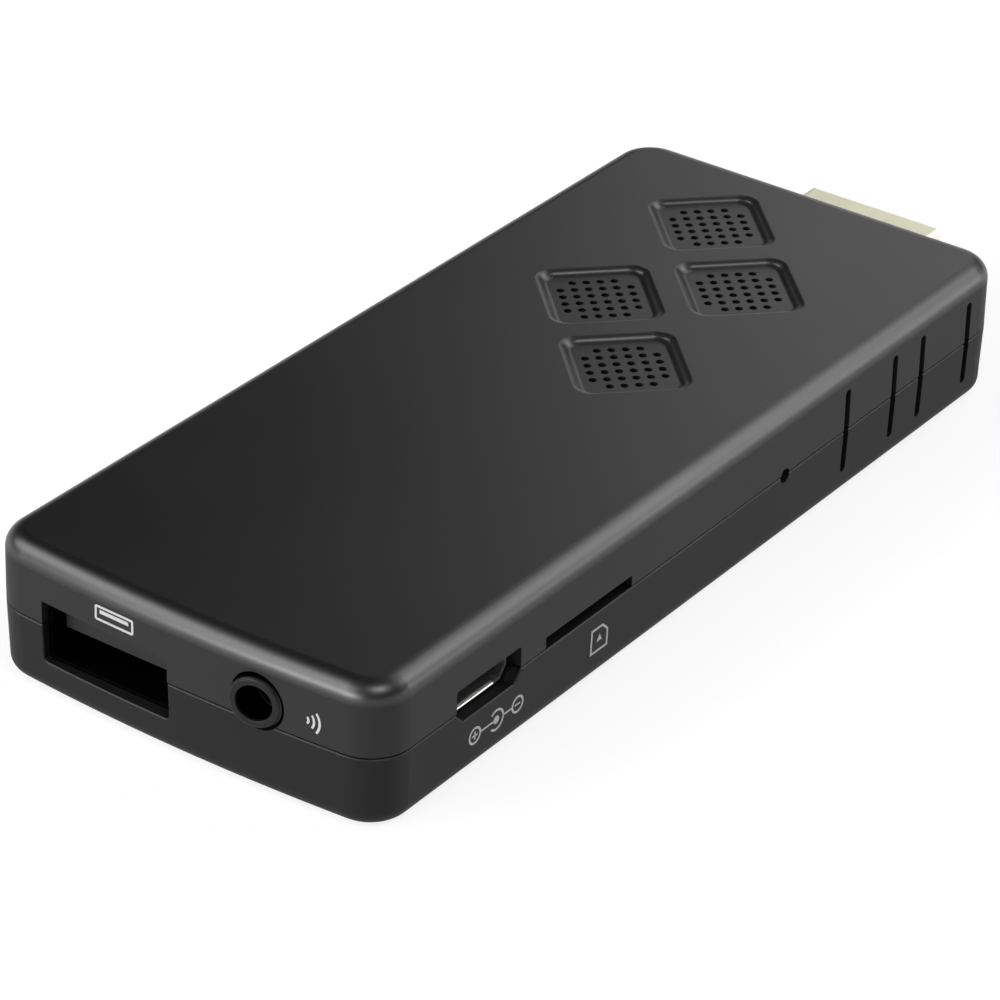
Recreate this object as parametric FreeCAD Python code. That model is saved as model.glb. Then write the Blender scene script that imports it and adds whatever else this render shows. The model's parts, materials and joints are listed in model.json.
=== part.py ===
# Streaming stick: a flat two-part plastic casing with an HDMI plug on one end, a USB-A socket and a
# round IR jack on the other, and a micro-USB socket, a memory card slot, a reset pinhole and vent
# slots along one long side. Millimetres, +Z up. The origin is the middle of the underside, +X points
# along the stick to the HDMI plug, and the long side with the sockets faces -Y.
import FreeCAD, Part
import math
import os

os.makedirs("parts", exist_ok=True)
V = FreeCAD.Vector

# Casing
case_length = 90.0
case_width = 38.4
upper_height = 6.3
lower_height = 6.3
plan_corner = 3.7
end_bow = 0.92
upper_draft_deg = 0.58
lower_draft_deg = 1.63
top_round = 1.67
bottom_round = 1.4
wall = 1.6
roof = 1.4
floor = 1.5
seam_gap = 0.18
seam_chamfer = 0.09
mouth_chamfer = 0.09
lip_height = 0.8
lip_thickness = 0.7
lip_gap = 0.05
snap_length = 5.0
snap_height = 0.35
snap_depth = 0.2
near_snaps_from_end = (30.2, 49.0)
far_snaps_from_end = (17.0, 49.0, 75.0)

# Vent pads and slots
hole_pitch = 1.223
hole_radius = 0.35
holes_per_side = 6
pad_span_pitches = 7
pad_count = 4
first_pad_from_end = 10.93
pad_half = 4.51
pad_depth = 0.46
pad_corner = 1.25
pad_roll = 0.72
vent_slot_width = 0.8
vent_slot_length = 7.9
vent_slots_from_end = (25.3, 17.8, 13.3, 5.7)

# Circuit board
standoff_height = 2.8
board_thickness = 1.2
board_gap = 0.6
board_corner = 2.0
screw_radius = 0.8
screw_clearance = 0.05
screw_length = 3.6
screw_head_radius = 1.5
screw_head_height = 0.8
screw_head_round = 0.36
screw_cross_length = 1.86
screw_cross_width = 0.42
screw_cross_depth = 0.48
boss_wall = 1.05
left_screw_from_edges = (2.4, 2.5)
right_screws_from_edges = (3.8, 3.2)
far_screw_from_edge = 2.1
far_screw_behind_usb = 3.7
rest_rib = 1.2

# HDMI plug
hdmi_width = 13.9
hdmi_height = 4.45
hdmi_base_width = 10.4
hdmi_side = 2.4
hdmi_sheet = 0.35
hdmi_round = 0.5
hdmi_reach = 10.2
hdmi_drop = 0.1
hdmi_inside = 6.9
hdmi_slot_width = 11.7
hdmi_slot_height = 2.1
hdmi_slot_depth = 8.2
hdmi_top_contacts = 10
hdmi_contact_pitch = 1.0
hdmi_contact_width = 0.3
hdmi_contact_recess = 1.4
hdmi_body_recess = 0.5
hdmi_ear_width = 1.8
hdmi_ear_length = 3.0
hdmi_ear_from_back = 1.0
hdmi_rest_from_wall = 1.8
contact_sheet = 0.12
contact_tail = 1.8
plug_gap = 0.15

# USB-A socket
usb_opening_width = 12.85
usb_opening_height = 5.5
usb_opening_corner = 0.45
usb_inner_width = 12.5
usb_inner_height = 5.15
usb_sheet = 0.3
usb_length = 13.5
usb_recess = 1.25
usb_tongue_recess = 2.2
usb_tongue_width = 11.1
usb_tongue_thickness = 1.84
usb_rise = 0.25
usb_from_far_side = 12.25
usb_contact_pitch = 2.25
usb_contact_count = 4
usb_contact_width = 1.0
usb_contact_recess = 0.6
usb_block_depth = 3.0
usb_shell_corner = 0.45
usb_ear_width = 1.3
usb_ear_length = 3.5
usb_ear_from_front = 9.6
usb_rest_shares = (0.3, 0.75)

# IR jack
jack_from_side = 11.15
jack_bore_radius = 1.3
jack_mouth_radius = 1.53
jack_collar_radius = 2.2
jack_hole_radius = 2.45
jack_width = 6.2
jack_height = 5.4
jack_length = 11.6
jack_proud = 0.45
jack_lean_deg = 13.0
jack_nose_length = 0.9
jack_corner = 0.5
jack_nose_round = 0.3
jack_mouth_round = 0.1
jack_passage_spare = 0.1
jack_spring_sheet = 0.2
jack_spring_width = 1.4
jack_spring_foot = 0.9
jack_spring_top = 3.8
near_jack_springs = (3.2, 7.6)
far_jack_springs = (5.4,)

# Micro-USB socket
micro_from_end = 14.15
micro_opening_width = 8.2
micro_opening_base = 6.3
micro_opening_height = 3.05
micro_opening_side = 2.15
micro_opening_corner = 0.3
micro_shell_width = 7.5
micro_shell_base = 5.8
micro_shell_height = 2.6
micro_shell_side = 1.6
micro_sheet = 0.25
micro_length = 5.2
micro_recess = 1.15
micro_tongue_width = 3.9
micro_tongue_thickness = 0.6
micro_tongue_drop = 0.45
micro_tongue_recess = 0.6
micro_block_depth = 1.0
micro_contact_count = 5
micro_contact_pitch = 0.65
micro_contact_width = 0.3
micro_contact_recess = 0.3
micro_tab_width = 0.9
micro_tab_length = 1.2
micro_tab_from_back = 0.6

# Memory card socket
card_from_end = 27.3
card_slot_width = 11.6
card_slot_height = 1.15
card_floor = 0.8
card_bay_width = 11.3
card_bay_height = 0.95
card_socket_length = 15.0
card_rail = 1.1
card_outer_rail = 0.55
card_back_wall = 0.6
card_front_block = 2.1
card_sheet = 0.2
card_sheet_bend = 0.16
cover_slot_width = 0.5
cover_slot_length = 4.4
cover_slots_from_front = (3.0, 7.0, 11.0)
card_contact_count = 8
card_contact_pitch = 1.1
card_contact_width = 0.45
card_contact_sheet = 0.12
card_contact_from_side = 0.75
card_contact_foot = 0.8
card_contact_bend = 3.0
card_contact_crest = 8.2
card_contact_tip = 9.6
card_contact_rise = 0.1
card_contact_hook = 0.25
card_window = 10.0
slider_width = 1.6
slider_height = 1.35
slider_travel = 4.0
slider_gap = 0.05
slider_foot = 2.2
slider_foot_thickness = 0.8
spring_radius = 0.5
spring_wire = 0.16
spring_turns = 9
spring_pocket = 3.0
cam_wire_radius = 0.15
cam_wire_overlap = 0.2
cam_wire_bend = 0.2
cam_hook_depth = 0.6
cam_groove_spare = 0.7
cam_groove_depth = 0.42

# Reset switch
reset_from_plug_end = 34.7
reset_hole_radius = 0.65
reset_width = 4.4
reset_height = 1.6
reset_depth = 2.0
reset_behind_wall = 1.15
reset_wall = 0.5
plunger_width = 1.5
plunger_height = 0.8
plunger_from_wall = 0.3
plunger_shoulder = 0.5
plunger_shoulder_thickness = 0.25
reset_sheet = 0.15
reset_sheet_margin = 0.1
reset_sheet_length = 1.6
reset_foot_width = 0.7
reset_foot_length = 0.8
reset_foot_from_front = 0.6
reset_travel = 0.25
dome_thickness = 0.08
dome_gap = 0.05
dome_pressed_height = 0.2

# Chips and small parts on the board
chip_corner = 0.1
part_gap = 1.1
soc_side = 14.0
soc_height = 1.3
soc_from_end = 25.0
thermal_pad_side = 12.0
thermal_pad_thickness = 0.5
sink_base = 1.0
sink_fin_height = 1.9
sink_fin_thickness = 0.8
sink_fins = 7
sink_overhang = 3.0
ram_length = 13.3
ram_width = 7.5
ram_height = 1.1
flash_length = 13.0
flash_width = 11.5
flash_height = 1.0
flash_from_board_edge = 2.3
wifi_side = 12.0
wifi_board_thickness = 0.8
wifi_can_height = 1.3
wifi_can_sheet = 0.2
wifi_can_margin = 0.5
wifi_chip_side = 5.0
wifi_chip_height = 0.8
antenna_length = 9.0
antenna_width = 2.2
antenna_height = 1.2
antenna_gap = 0.2
power_chip_side = 5.0
power_chip_height = 0.9
inductor_side = 4.0
inductor_height = 1.8
inductor_pitch = 4.8
inductor_from_board_edge = 4.0
capacitor_length = 3.5
capacitor_width = 2.8
capacitor_height = 1.9
capacitor_pitch = 3.7
input_capacitors = 3
output_capacitors = 2
crystal_length = 3.2
crystal_width = 2.5
crystal_height = 0.8
crystal_gap = 0.8
small_part_length = 1.6
small_part_width = 0.8
small_part_height = 0.8
small_part_pitch = 2.0
small_parts_under = 7
small_parts_under_flash = 6
small_parts_by_plug = 5

# Places that follow from the sizes
left_end = -case_length / 2
right_end = case_length / 2
near_side = -case_width / 2
far_side = case_width / 2
seam = lower_height
top = lower_height + upper_height
board_bottom = floor + standoff_height
board_top = board_bottom + board_thickness
bow_radius = far_side ** 2 / (2 * end_bow) + end_bow / 2
corner_y = far_side - plan_corner
bow_centre_x = left_end + bow_radius
left_corner_x = bow_centre_x - math.sqrt((bow_radius - plan_corner) ** 2 - corner_y ** 2)
right_corner_x = right_end - plan_corner
nothing = 0.0
near_enough = 0.01


def box(x0, x1, y0, y1, z0, z1):
    """Block between two corners."""
    return Part.makeBox(x1 - x0, y1 - y0, z1 - z0, V(x0, y0, z0))


def rod(start, end, radius):
    """Round bar from one point to another."""
    path = end - start
    return Part.makeCylinder(radius, path.Length, start, path)


def prism(points, path):
    """Flat outline pushed along a path."""
    return Part.Face(Part.makePolygon(points + [points[0]])).extrude(path)


def join(shapes):
    """Several touching or overlapping solids as one."""
    first = shapes[0]
    return first.multiFuse(shapes[1:]).removeSplitter() if len(shapes) > 1 else first


def round_along(shape, axis, radius, keep=lambda middle: True):
    """Rounds the straight edges that run along one axis."""
    edges = []
    for edge in shape.Edges:
        if edge.Curve.TypeId != "Part::GeomLine":
            continue
        path = edge.Vertexes[1].Point - edge.Vertexes[0].Point
        if abs(path.normalize().dot(axis)) > 0.999 and keep(edge.CenterOfMass):
            edges.append(edge)
    return shape.makeFillet(radius, edges)


def save(shape, name):
    """Writes one piece, or a group of separate solids, as a STEP file."""
    solids = shape.Solids
    broken = [s for s in solids if not s.isValid() or s.Volume <= 0]
    shape = solids[0] if len(solids) == 1 else Part.Compound(solids)
    shape.exportStep("parts/" + name + ".step")
    print(name, len(solids), "solids", round(shape.Volume, 2), "mm3", "BROKEN" if broken else "")


def end_face_x(y, inset=nothing):
    """Where the bowed end face stands at a given y, at the seam or a little inside it."""
    return bow_centre_x - math.sqrt((bow_radius - inset) ** 2 - y ** 2)


def outline(inset, z):
    """Plan of the casing, inset by a distance: straight sides, one bowed end, four round corners."""
    r = plan_corner - inset
    bow = bow_radius - inset
    side = far_side - inset
    lean = math.atan2(corner_y, left_corner_x - bow_centre_x)
    diagonal = math.sqrt(0.5)

    def at(cx, cy, radius, angle):
        return V(cx + radius * math.cos(angle), cy + radius * math.sin(angle), z)

    near_left = at(left_corner_x, -corner_y, r, -math.pi / 2)
    near_right = at(right_corner_x, -corner_y, r, -math.pi / 2)
    right_near = at(right_corner_x, -corner_y, r, nothing)
    right_far = at(right_corner_x, corner_y, r, nothing)
    far_right = at(right_corner_x, corner_y, r, math.pi / 2)
    far_left = at(left_corner_x, corner_y, r, math.pi / 2)
    left_far = at(left_corner_x, corner_y, r, lean)
    left_near = at(left_corner_x, -corner_y, r, -lean)
    near_mid = at(left_corner_x, -corner_y, r, -(lean + math.pi / 2) / 2)
    far_mid = at(left_corner_x, corner_y, r, (lean + math.pi / 2) / 2)
    edges = [
        Part.LineSegment(near_left, near_right),
        Part.Arc(near_right, V(right_corner_x + r * diagonal, -corner_y - r * diagonal, z), right_near),
        Part.LineSegment(right_near, right_far),
        Part.Arc(right_far, V(right_corner_x + r * diagonal, corner_y + r * diagonal, z), far_right),
        Part.LineSegment(far_right, far_left),
        Part.Arc(far_left, far_mid, left_far),
        Part.Arc(left_far, V(bow_centre_x - bow, nothing, z), left_near),
        Part.Arc(left_near, near_mid, near_left),
    ]
    return Part.Wire([edge.toShape() for edge in edges])


def drafted(inset_low, z_low, inset_high, z_high):
    """Solid between the casing's plan at two heights."""
    return Part.makeLoft([outline(inset_low, z_low), outline(inset_high, z_high)], True, True)


def edges_at(shape, z, reach=near_enough):
    """Edges that lie in one level plane."""
    return [e for e in shape.Edges if abs(e.BoundBox.ZMin - z) < reach and abs(e.BoundBox.ZMax - z) < reach]


def square(cx, cy, half, corner, z):
    """Rounded square turned by 45 degrees about its middle."""
    wire = []
    k = half - corner
    diagonal = corner * math.sqrt(0.5)
    for turn in range(4):
        spin = FreeCAD.Rotation(V(0, 0, 1), 45 + 90 * turn)
        place = lambda x, y: V(cx, cy, z) + spin.multVec(V(x, y, 0))
        wire.append(Part.LineSegment(place(half, -k), place(half, k)).toShape())
        wire.append(Part.Arc(place(half, k), place(k + diagonal, k + diagonal), place(k, half)).toShape())
    return Part.Wire(wire)


# Places of the vent pads: a zigzag of four, one pad span apart along and across the stick
pad_step = hole_pitch * pad_span_pitches
pads = []
for number in range(pad_count):
    pad_x = right_end - first_pad_from_end - pad_step * number
    pad_y = pad_step / 2 * (1 if number % 2 == 0 else -1)
    pads.append((pad_x, pad_y))


def pad_holes(reach_low, reach_high):
    """Small round holes of every pad: a square grid without its corners, in line with the pad's sides."""
    holes = []
    last = holes_per_side - 1
    for cx, cy in pads:
        for i in range(holes_per_side):
            for j in range(holes_per_side):
                if i in (0, last) and j in (0, last):
                    continue
                u = (i - last / 2) * hole_pitch * math.sqrt(0.5)
                v = (j - last / 2) * hole_pitch * math.sqrt(0.5)
                x, y = cx + u - v, cy + u + v
                holes.append(Part.makeCylinder(hole_radius, reach_high - reach_low, V(x, y, reach_low)))
    return Part.Compound(holes)


# Places of the sockets, which the casing's openings follow
jack_y = near_side + jack_from_side
jack_z = board_top + jack_height / 2
usb_y = far_side - usb_from_far_side
usb_z = board_top + usb_rise
micro_x = left_end + micro_from_end
micro_y = near_side + micro_recess
micro_bottom = board_top
micro_opening_bottom = micro_bottom - (micro_opening_height - micro_shell_height) / 2
card_x = left_end + card_from_end
slot_bottom = board_top + card_floor
reset_x = right_end - reset_from_plug_end
reset_z = board_top + reset_height / 2
hdmi_z = board_bottom + board_thickness / 2 - hdmi_drop
beyond = wall * 2


def hexagon(width, base, height, side, bottom, centre):
    """Socket outline in width and height, as (across, z): wide above, drawn in at the bottom."""
    return [
        (centre - base / 2, bottom),
        (centre + base / 2, bottom),
        (centre + width / 2, bottom + height - side),
        (centre + width / 2, bottom + height),
        (centre - width / 2, bottom + height),
        (centre - width / 2, bottom + height - side),
    ]


def hdmi_profile(spread, x):
    """Corners of the HDMI plug's outline at x, grown outwards by a spread."""
    low = hdmi_z - hdmi_height / 2
    shape = hexagon(hdmi_width + 2 * spread, hdmi_base_width + spread, hdmi_height + 2 * spread,
                    hdmi_side + spread, low - spread, nothing)
    return [V(x, y, z) for y, z in shape]


def vent_slot(x):
    """Upright slot with round ends through the near wall, half in each cover."""
    radius = vent_slot_width / 2
    reach = vent_slot_length / 2 - radius
    start = near_side - beyond
    depth = V(0, beyond + wall + 2 * lip_gap, 0)
    slot = [box(x - radius, x + radius, start, start + depth.y, seam - reach, seam + reach)]
    for z in (seam - reach, seam + reach):
        slot.append(rod(V(x, start, z), V(x, start, z) + depth, radius))
    return join(slot)


def casing_cuts():
    """Openings that pass through both covers."""
    cuts = []
    usb = box(left_end - beyond, left_end + beyond + end_bow, usb_y - usb_opening_width / 2,
              usb_y + usb_opening_width / 2, usb_z - usb_opening_height / 2, usb_z + usb_opening_height / 2)
    cuts.append(round_along(usb, V(1, 0, 0), usb_opening_corner, lambda middle: middle.z < usb_z))
    pocket_front = end_face_x(usb_y) + usb_recess - plug_gap
    half_width = usb_inner_width / 2 + usb_sheet + plug_gap
    half_height = usb_inner_height / 2 + usb_sheet + plug_gap
    cuts.append(box(pocket_front, pocket_front + beyond * 2, usb_y - half_width, usb_y + half_width,
                    usb_z - half_height, usb_z + half_height))
    jack_start = V(left_end - beyond, jack_y, jack_z)
    cuts.append(rod(jack_start, jack_start + V(2 * beyond + end_bow, 0, 0), jack_hole_radius))
    micro = hexagon(micro_opening_width, micro_opening_base, micro_opening_height, micro_opening_side,
                    micro_opening_bottom, micro_x)
    notch = prism([V(x, near_side - beyond, z) for x, z in micro], V(0, 2 * beyond, 0))
    cuts.append(round_along(notch, V(0, 1, 0), micro_opening_corner, lambda middle: middle.z > seam))
    cuts.append(box(card_x - card_slot_width / 2, card_x + card_slot_width / 2, near_side - beyond,
                    near_side + beyond, slot_bottom, slot_bottom + card_slot_height))
    reset_start = V(reset_x, near_side - beyond, reset_z)
    cuts.append(rod(reset_start, reset_start + V(0, 2 * beyond, 0), reset_hole_radius))
    for from_end in vent_slots_from_end:
        cuts.append(vent_slot(right_end - from_end))
    cuts.append(prism(hdmi_profile(plug_gap, right_end - beyond), V(2 * beyond, 0, 0)))
    return cuts


def snaps(depth, clearance):
    """Low bars along the lip's outer face, or the grooves that they click into when given a clearance."""
    bars = []
    z = seam + lip_height / 2
    rows = [(-1, from_end) for from_end in near_snaps_from_end]
    rows += [(1, from_end) for from_end in far_snaps_from_end]
    for sign, from_end in rows:
        x = right_end - from_end
        face = sign * (far_side - wall + lip_thickness - snap_depth)
        out = sign * (far_side - wall + lip_thickness + depth)
        bars.append(box(x - snap_length / 2 - clearance, x + snap_length / 2 + clearance, min(face, out),
                        max(face, out), z - snap_height / 2 - clearance, z + snap_height / 2 + clearance))
    return bars


def top_cover():
    """Upper shell: a lid with rounded upper edges, four recessed vent pads and a rebate for the lip."""
    lean = math.tan(math.radians(upper_draft_deg))
    body = drafted(nothing, seam + seam_gap, upper_height * lean, top)
    body = body.makeFillet(top_round, edges_at(body, top))
    spread = pad_depth / 2
    for cx, cy in pads:
        pocket = Part.makeLoft([square(cx, cy, pad_half - spread, pad_corner - spread, top - pad_depth),
                                square(cx, cy, pad_half + spread, pad_corner + spread, top)], True, True)
        body = body.cut(pocket)
    reach = pad_half * math.sqrt(2) + pad_depth
    rolled = [e for e in edges_at(body, top) + edges_at(body, top - pad_depth)
              if any((e.CenterOfMass - V(cx, cy, top)).Length < reach for cx, cy in pads)]
    body = body.makeFillet(pad_roll, rolled)
    cavity = drafted(wall, seam - seam_gap, wall + upper_height * lean, top - roof)
    rebate = drafted(wall - lip_thickness - lip_gap, seam - seam_gap, wall - lip_thickness - lip_gap,
                     seam + lip_height)
    body = body.cut(cavity).cut(rebate)
    for groove in snaps(snap_depth + lip_gap, lip_gap):
        body = body.cut(groove)
    for tool in casing_cuts():
        body = body.cut(tool)
    return body.cut(pad_holes(top - roof - wall, top + wall))


def mouth_edges(shape, lean):
    """Edges that the USB-A and micro-USB openings cut into the lower cover's drafted outer faces."""
    edges = []
    for edge in shape.Edges:
        first, last = edge.FirstParameter, edge.LastParameter
        points = [edge.valueAt(first + (last - first) * share) for share in (0.1, 0.5, 0.9)]
        if any(p.z > seam - seam_chamfer for p in points):
            continue
        on_end = all(abs(p.x - end_face_x(p.y, (seam - p.z) * lean)) < near_enough
                     and abs(p.y - usb_y) < usb_opening_width / 2 + near_enough for p in points)
        on_side = all(abs(p.y - near_side - (seam - p.z) * lean) < near_enough
                      and abs(p.x - micro_x) < micro_opening_width / 2 + near_enough for p in points)
        if on_end or on_side:
            edges.append(edge)
    return edges


def bottom_cover():
    """Lower shell: a tray with a raised lip, screw bosses and rests for the sockets."""
    lean = math.tan(math.radians(lower_draft_deg))
    body = drafted(lower_height * lean, nothing, nothing, seam)
    body = body.makeFillet(bottom_round, edges_at(body, nothing))
    body = body.makeChamfer(seam_chamfer, edges_at(body, seam))
    body = body.cut(drafted(wall + lower_height * lean, floor, wall, seam + seam_gap))
    rim = wall - lip_thickness
    lip = drafted(rim, seam - lip_height, rim, seam + lip_height)
    lip = lip.cut(drafted(wall, seam - 2 * lip_height, wall, seam + 2 * lip_height))
    parts = [body, lip] + snaps(snap_depth, nothing)
    body = join(parts)
    for tool in casing_cuts():
        body = body.cut(tool)
    body = body.makeChamfer(mouth_chamfer, mouth_edges(body, lean))
    rests = []
    for x, y in screw_places:
        rests.append(rod(V(x, y, floor), V(x, y, board_bottom), screw_radius + screw_clearance + boss_wall))
    usb_low = usb_z - usb_inner_height / 2 - usb_sheet
    for share in usb_rest_shares:
        x = usb_front + usb_length * share
        rests.append(box(x - rest_rib / 2, x + rest_rib / 2, usb_y - usb_inner_width / 2,
                         usb_y + usb_inner_width / 2, floor, usb_low))
    rest_end = right_end - wall - hdmi_rest_from_wall
    rests.append(box(rest_end - rest_rib, rest_end, -hdmi_base_width / 2, hdmi_base_width / 2, floor,
                     hdmi_z - hdmi_height / 2))
    body = join([body] + rests)
    for x, y in screw_places:
        body = body.cut(rod(V(x, y, board_top - screw_length - screw_clearance), V(x, y, board_top),
                            screw_radius + screw_clearance))
    return body


# Circuit board and its screws
usb_front = end_face_x(usb_y) + usb_recess
usb_back = usb_front + usb_length
board_left = left_end + wall + board_gap + end_bow
board_right = right_end - wall - board_gap
board_near = near_side + wall + board_gap
board_far = far_side - wall - board_gap
far_screw_x = usb_back + far_screw_behind_usb
plug_back = right_end - hdmi_inside
plug_tip = right_end + hdmi_reach
screw_places = [
    (board_left + left_screw_from_edges[0], board_near + left_screw_from_edges[1]),
    (far_screw_x, board_far - far_screw_from_edge),
    (board_right - right_screws_from_edges[0], board_near + right_screws_from_edges[1]),
    (board_right - right_screws_from_edges[0], board_far - right_screws_from_edges[1]),
]


def main_board():
    """Green board, cut out round the USB-A socket and the HDMI plug, with four screw holes."""
    board = box(board_left, board_right, board_near, board_far, board_bottom, board_top)
    board = round_along(board, V(0, 0, 1), board_corner)
    around = usb_inner_width / 2 + usb_sheet + board_gap / 2
    board = board.cut(box(board_left - 1, usb_back + board_gap / 2, usb_y - around, usb_y + around,
                          board_bottom - 1, board_top + 1))
    around = hdmi_width / 2 + board_gap / 2
    board = board.cut(box(plug_back - plug_gap, board_right + 1, -around, around, board_bottom - 1,
                          board_top + 1))
    hole_radius_in_board = screw_radius + 2 * screw_clearance
    for x, y in screw_places:
        board = board.cut(rod(V(x, y, board_bottom - 1), V(x, y, board_top + 1), hole_radius_in_board))
    return board


def board_screws():
    """Four pan head screws with cross recesses."""
    screws = []
    head_top = board_top + screw_head_height
    arm = screw_cross_length / 2
    blade = screw_cross_width / 2
    low = head_top - screw_cross_depth
    for x, y in screw_places:
        head = rod(V(x, y, board_top), V(x, y, head_top), screw_head_radius)
        head = head.makeFillet(screw_head_round, edges_at(head, head_top))
        shank = rod(V(x, y, board_top - screw_length), V(x, y, board_top), screw_radius)
        screw = join([head, shank])
        screw = screw.cut(box(x - arm, x + arm, y - blade, y + blade, low, head_top + 1))
        screws.append(screw.cut(box(x - blade, x + blade, y - arm, y + arm, low, head_top + 1)))
    return Part.Compound(screws)


# HDMI plug: sheet shell, moulded body with the contact slot, and two rows of contact springs
def hdmi_shell():
    """Folded metal sleeve with rounded upper edges and two solder ears behind the end wall."""
    depth = V(plug_tip - plug_back, 0, 0)
    sleeve = prism(hdmi_profile(nothing, plug_back), depth)
    sleeve = round_along(sleeve, V(1, 0, 0), hdmi_round)
    sleeve = sleeve.cut(prism(hdmi_profile(-hdmi_sheet, plug_back), depth))
    ear_start = plug_back + hdmi_ear_from_back
    ears = []
    for sign in (-1, 1):
        inner = sign * (hdmi_width / 2 - hdmi_sheet / 2)
        outer = sign * (hdmi_width / 2 + hdmi_ear_width)
        ears.append(box(ear_start, ear_start + hdmi_ear_length, min(inner, outer), max(inner, outer),
                        board_top, board_top + hdmi_sheet))
    return join([sleeve] + ears)


def hdmi_contacts():
    """Thin straight springs: one row above the slot's middle, one below, soldered to the board's faces."""
    bars = []
    half = hdmi_contact_width / 2
    for count, low in ((hdmi_top_contacts, board_top), (hdmi_top_contacts - 1, board_bottom - contact_sheet)):
        for number in range(count):
            y = (number - (count - 1) / 2) * hdmi_contact_pitch
            bars.append(box(plug_back - contact_tail, plug_tip - hdmi_contact_recess, y - half, y + half, low,
                            low + contact_sheet))
    return Part.Compound(bars)


def hdmi_insulator():
    """Black moulded body that fills the sleeve, with the slot for the socket's tongue."""
    length = plug_tip - plug_back - hdmi_body_recess
    body = prism(hdmi_profile(-hdmi_sheet, plug_back), V(length, 0, 0))
    slot = box(plug_tip - hdmi_slot_depth, plug_tip + 1, -hdmi_slot_width / 2, hdmi_slot_width / 2,
               hdmi_z - hdmi_slot_height / 2, hdmi_z + hdmi_slot_height / 2)
    return body.cut(slot).cut(hdmi_contacts())


# USB-A socket: sheet shell sunk into the board, tongue block and four contacts
def usb_shell():
    """Rectangular metal sleeve with solder ears on both sides."""
    low = usb_z - usb_inner_height / 2
    near = usb_y - usb_inner_width / 2
    far = usb_y + usb_inner_width / 2
    sleeve = box(usb_front, usb_back, near - usb_sheet, far + usb_sheet, low - usb_sheet,
                 low + usb_inner_height + usb_sheet)
    sleeve = round_along(sleeve, V(1, 0, 0), usb_shell_corner)
    sleeve = sleeve.cut(box(usb_front - 1, usb_back + 1, near, far, low, low + usb_inner_height))
    ear_start = usb_front + usb_ear_from_front
    ears = []
    for sign in (-1, 1):
        inner = usb_y + sign * (usb_inner_width / 2 + usb_sheet / 2)
        outer = usb_y + sign * (usb_inner_width / 2 + usb_sheet + usb_ear_width)
        ears.append(box(ear_start, ear_start + usb_ear_length, min(inner, outer), max(inner, outer),
                        board_top, board_top + usb_sheet))
    return join([sleeve] + ears)


def usb_contacts():
    """Flat contacts under the tongue, running back onto the board."""
    bars = []
    start = end_face_x(usb_y) + usb_tongue_recess + usb_contact_recess
    for number in range(usb_contact_count):
        y = usb_y + (number - (usb_contact_count - 1) / 2) * usb_contact_pitch
        bars.append(box(start, usb_back + contact_tail, y - usb_contact_width / 2, y + usb_contact_width / 2,
                        board_top, board_top + contact_sheet))
    return Part.Compound(bars)


def usb_tongue():
    """Black tongue on the block that closes the back of the shell."""
    low = board_top + contact_sheet
    start = end_face_x(usb_y) + usb_tongue_recess
    tongue = box(start, usb_back, usb_y - usb_tongue_width / 2, usb_y + usb_tongue_width / 2, low,
                 low + usb_tongue_thickness)
    half = usb_inner_width / 2
    block = box(usb_back - usb_block_depth, usb_back, usb_y - half, usb_y + half,
                usb_z - usb_inner_height / 2, usb_z + usb_inner_height / 2)
    return join([tongue, block]).cut(usb_contacts())


# IR jack: moulded block on the board, a collar through the end wall and side springs
jack_near = jack_y - jack_width / 2
jack_far = jack_y + jack_width / 2
jack_front = end_face_x(jack_near) + wall + plug_gap
jack_back = jack_front + jack_length


def jack_leaves():
    """Upright spring leaves let into the block's sides, each with the side's direction."""
    leaves = []
    for sign, offsets in ((-1, near_jack_springs), (1, far_jack_springs)):
        face = jack_y + sign * jack_width / 2
        back = face - sign * jack_spring_sheet
        for offset in offsets:
            start = jack_front + offset
            leaf = box(start, start + jack_spring_width, min(face, back), max(face, back), board_top,
                       board_top + jack_spring_top)
            leaves.append((sign, leaf))
    return leaves


def jack_housing():
    """Block with the plug bore right through it and a recess for each spring."""
    body = box(jack_front, jack_back, jack_near, jack_far, board_top, board_top + jack_height)
    body = round_along(body, V(1, 0, 0), jack_corner, lambda middle: middle.z > jack_z)
    bore = V(jack_front - 1, jack_y, jack_z)
    body = body.cut(rod(bore, bore + V(jack_length + 2, 0, 0), jack_bore_radius))
    for sign, leaf in jack_leaves():
        body = body.cut(leaf)
    return body


def jack_springs():
    """The leaves with their solder feet on the board."""
    springs = []
    for sign, leaf in jack_leaves():
        face = jack_y + sign * jack_width / 2
        back = face - sign * jack_spring_sheet
        outer = face + sign * jack_spring_foot
        foot = box(leaf.BoundBox.XMin, leaf.BoundBox.XMax, min(back, outer), max(back, outer), board_top,
                   board_top + jack_spring_sheet)
        springs.append(join([leaf, foot]))
    return Part.Compound(springs)


def jack_collar():
    """Short round tube round the bore. Its rounded nose stands proud and leans to the near side."""
    front = V(end_face_x(jack_y) - jack_proud, jack_y, jack_z)
    lean = math.radians(jack_lean_deg)
    inward = V(math.cos(lean), math.sin(lean), nothing)
    nose = rod(front, front + inward * jack_nose_length, jack_collar_radius)
    rim = [e for e in nose.Edges if (e.CenterOfMass - front).Length < near_enough]
    nose = nose.makeFillet(jack_nose_round, rim)
    nose = nose.cut(rod(front - inward, front + inward * 2 * jack_nose_length, jack_mouth_radius))
    mouth = [e for e in nose.Edges if (e.CenterOfMass - front).Length < near_enough
             and e.BoundBox.ZLength < 2 * jack_mouth_radius + near_enough]
    nose = nose.makeFillet(jack_mouth_round, mouth)
    tube_front = V(end_face_x(jack_y) + plug_gap, jack_y, jack_z)
    back = V(jack_front, jack_y, jack_z)
    tube = rod(tube_front, back, jack_collar_radius)
    tube = tube.cut(rod(tube_front, back, jack_mouth_radius))
    along = V(1, 0, 0)
    passage = rod(front - along, back + along, jack_bore_radius + jack_passage_spare)
    return join([nose, tube]).cut(passage)


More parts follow.
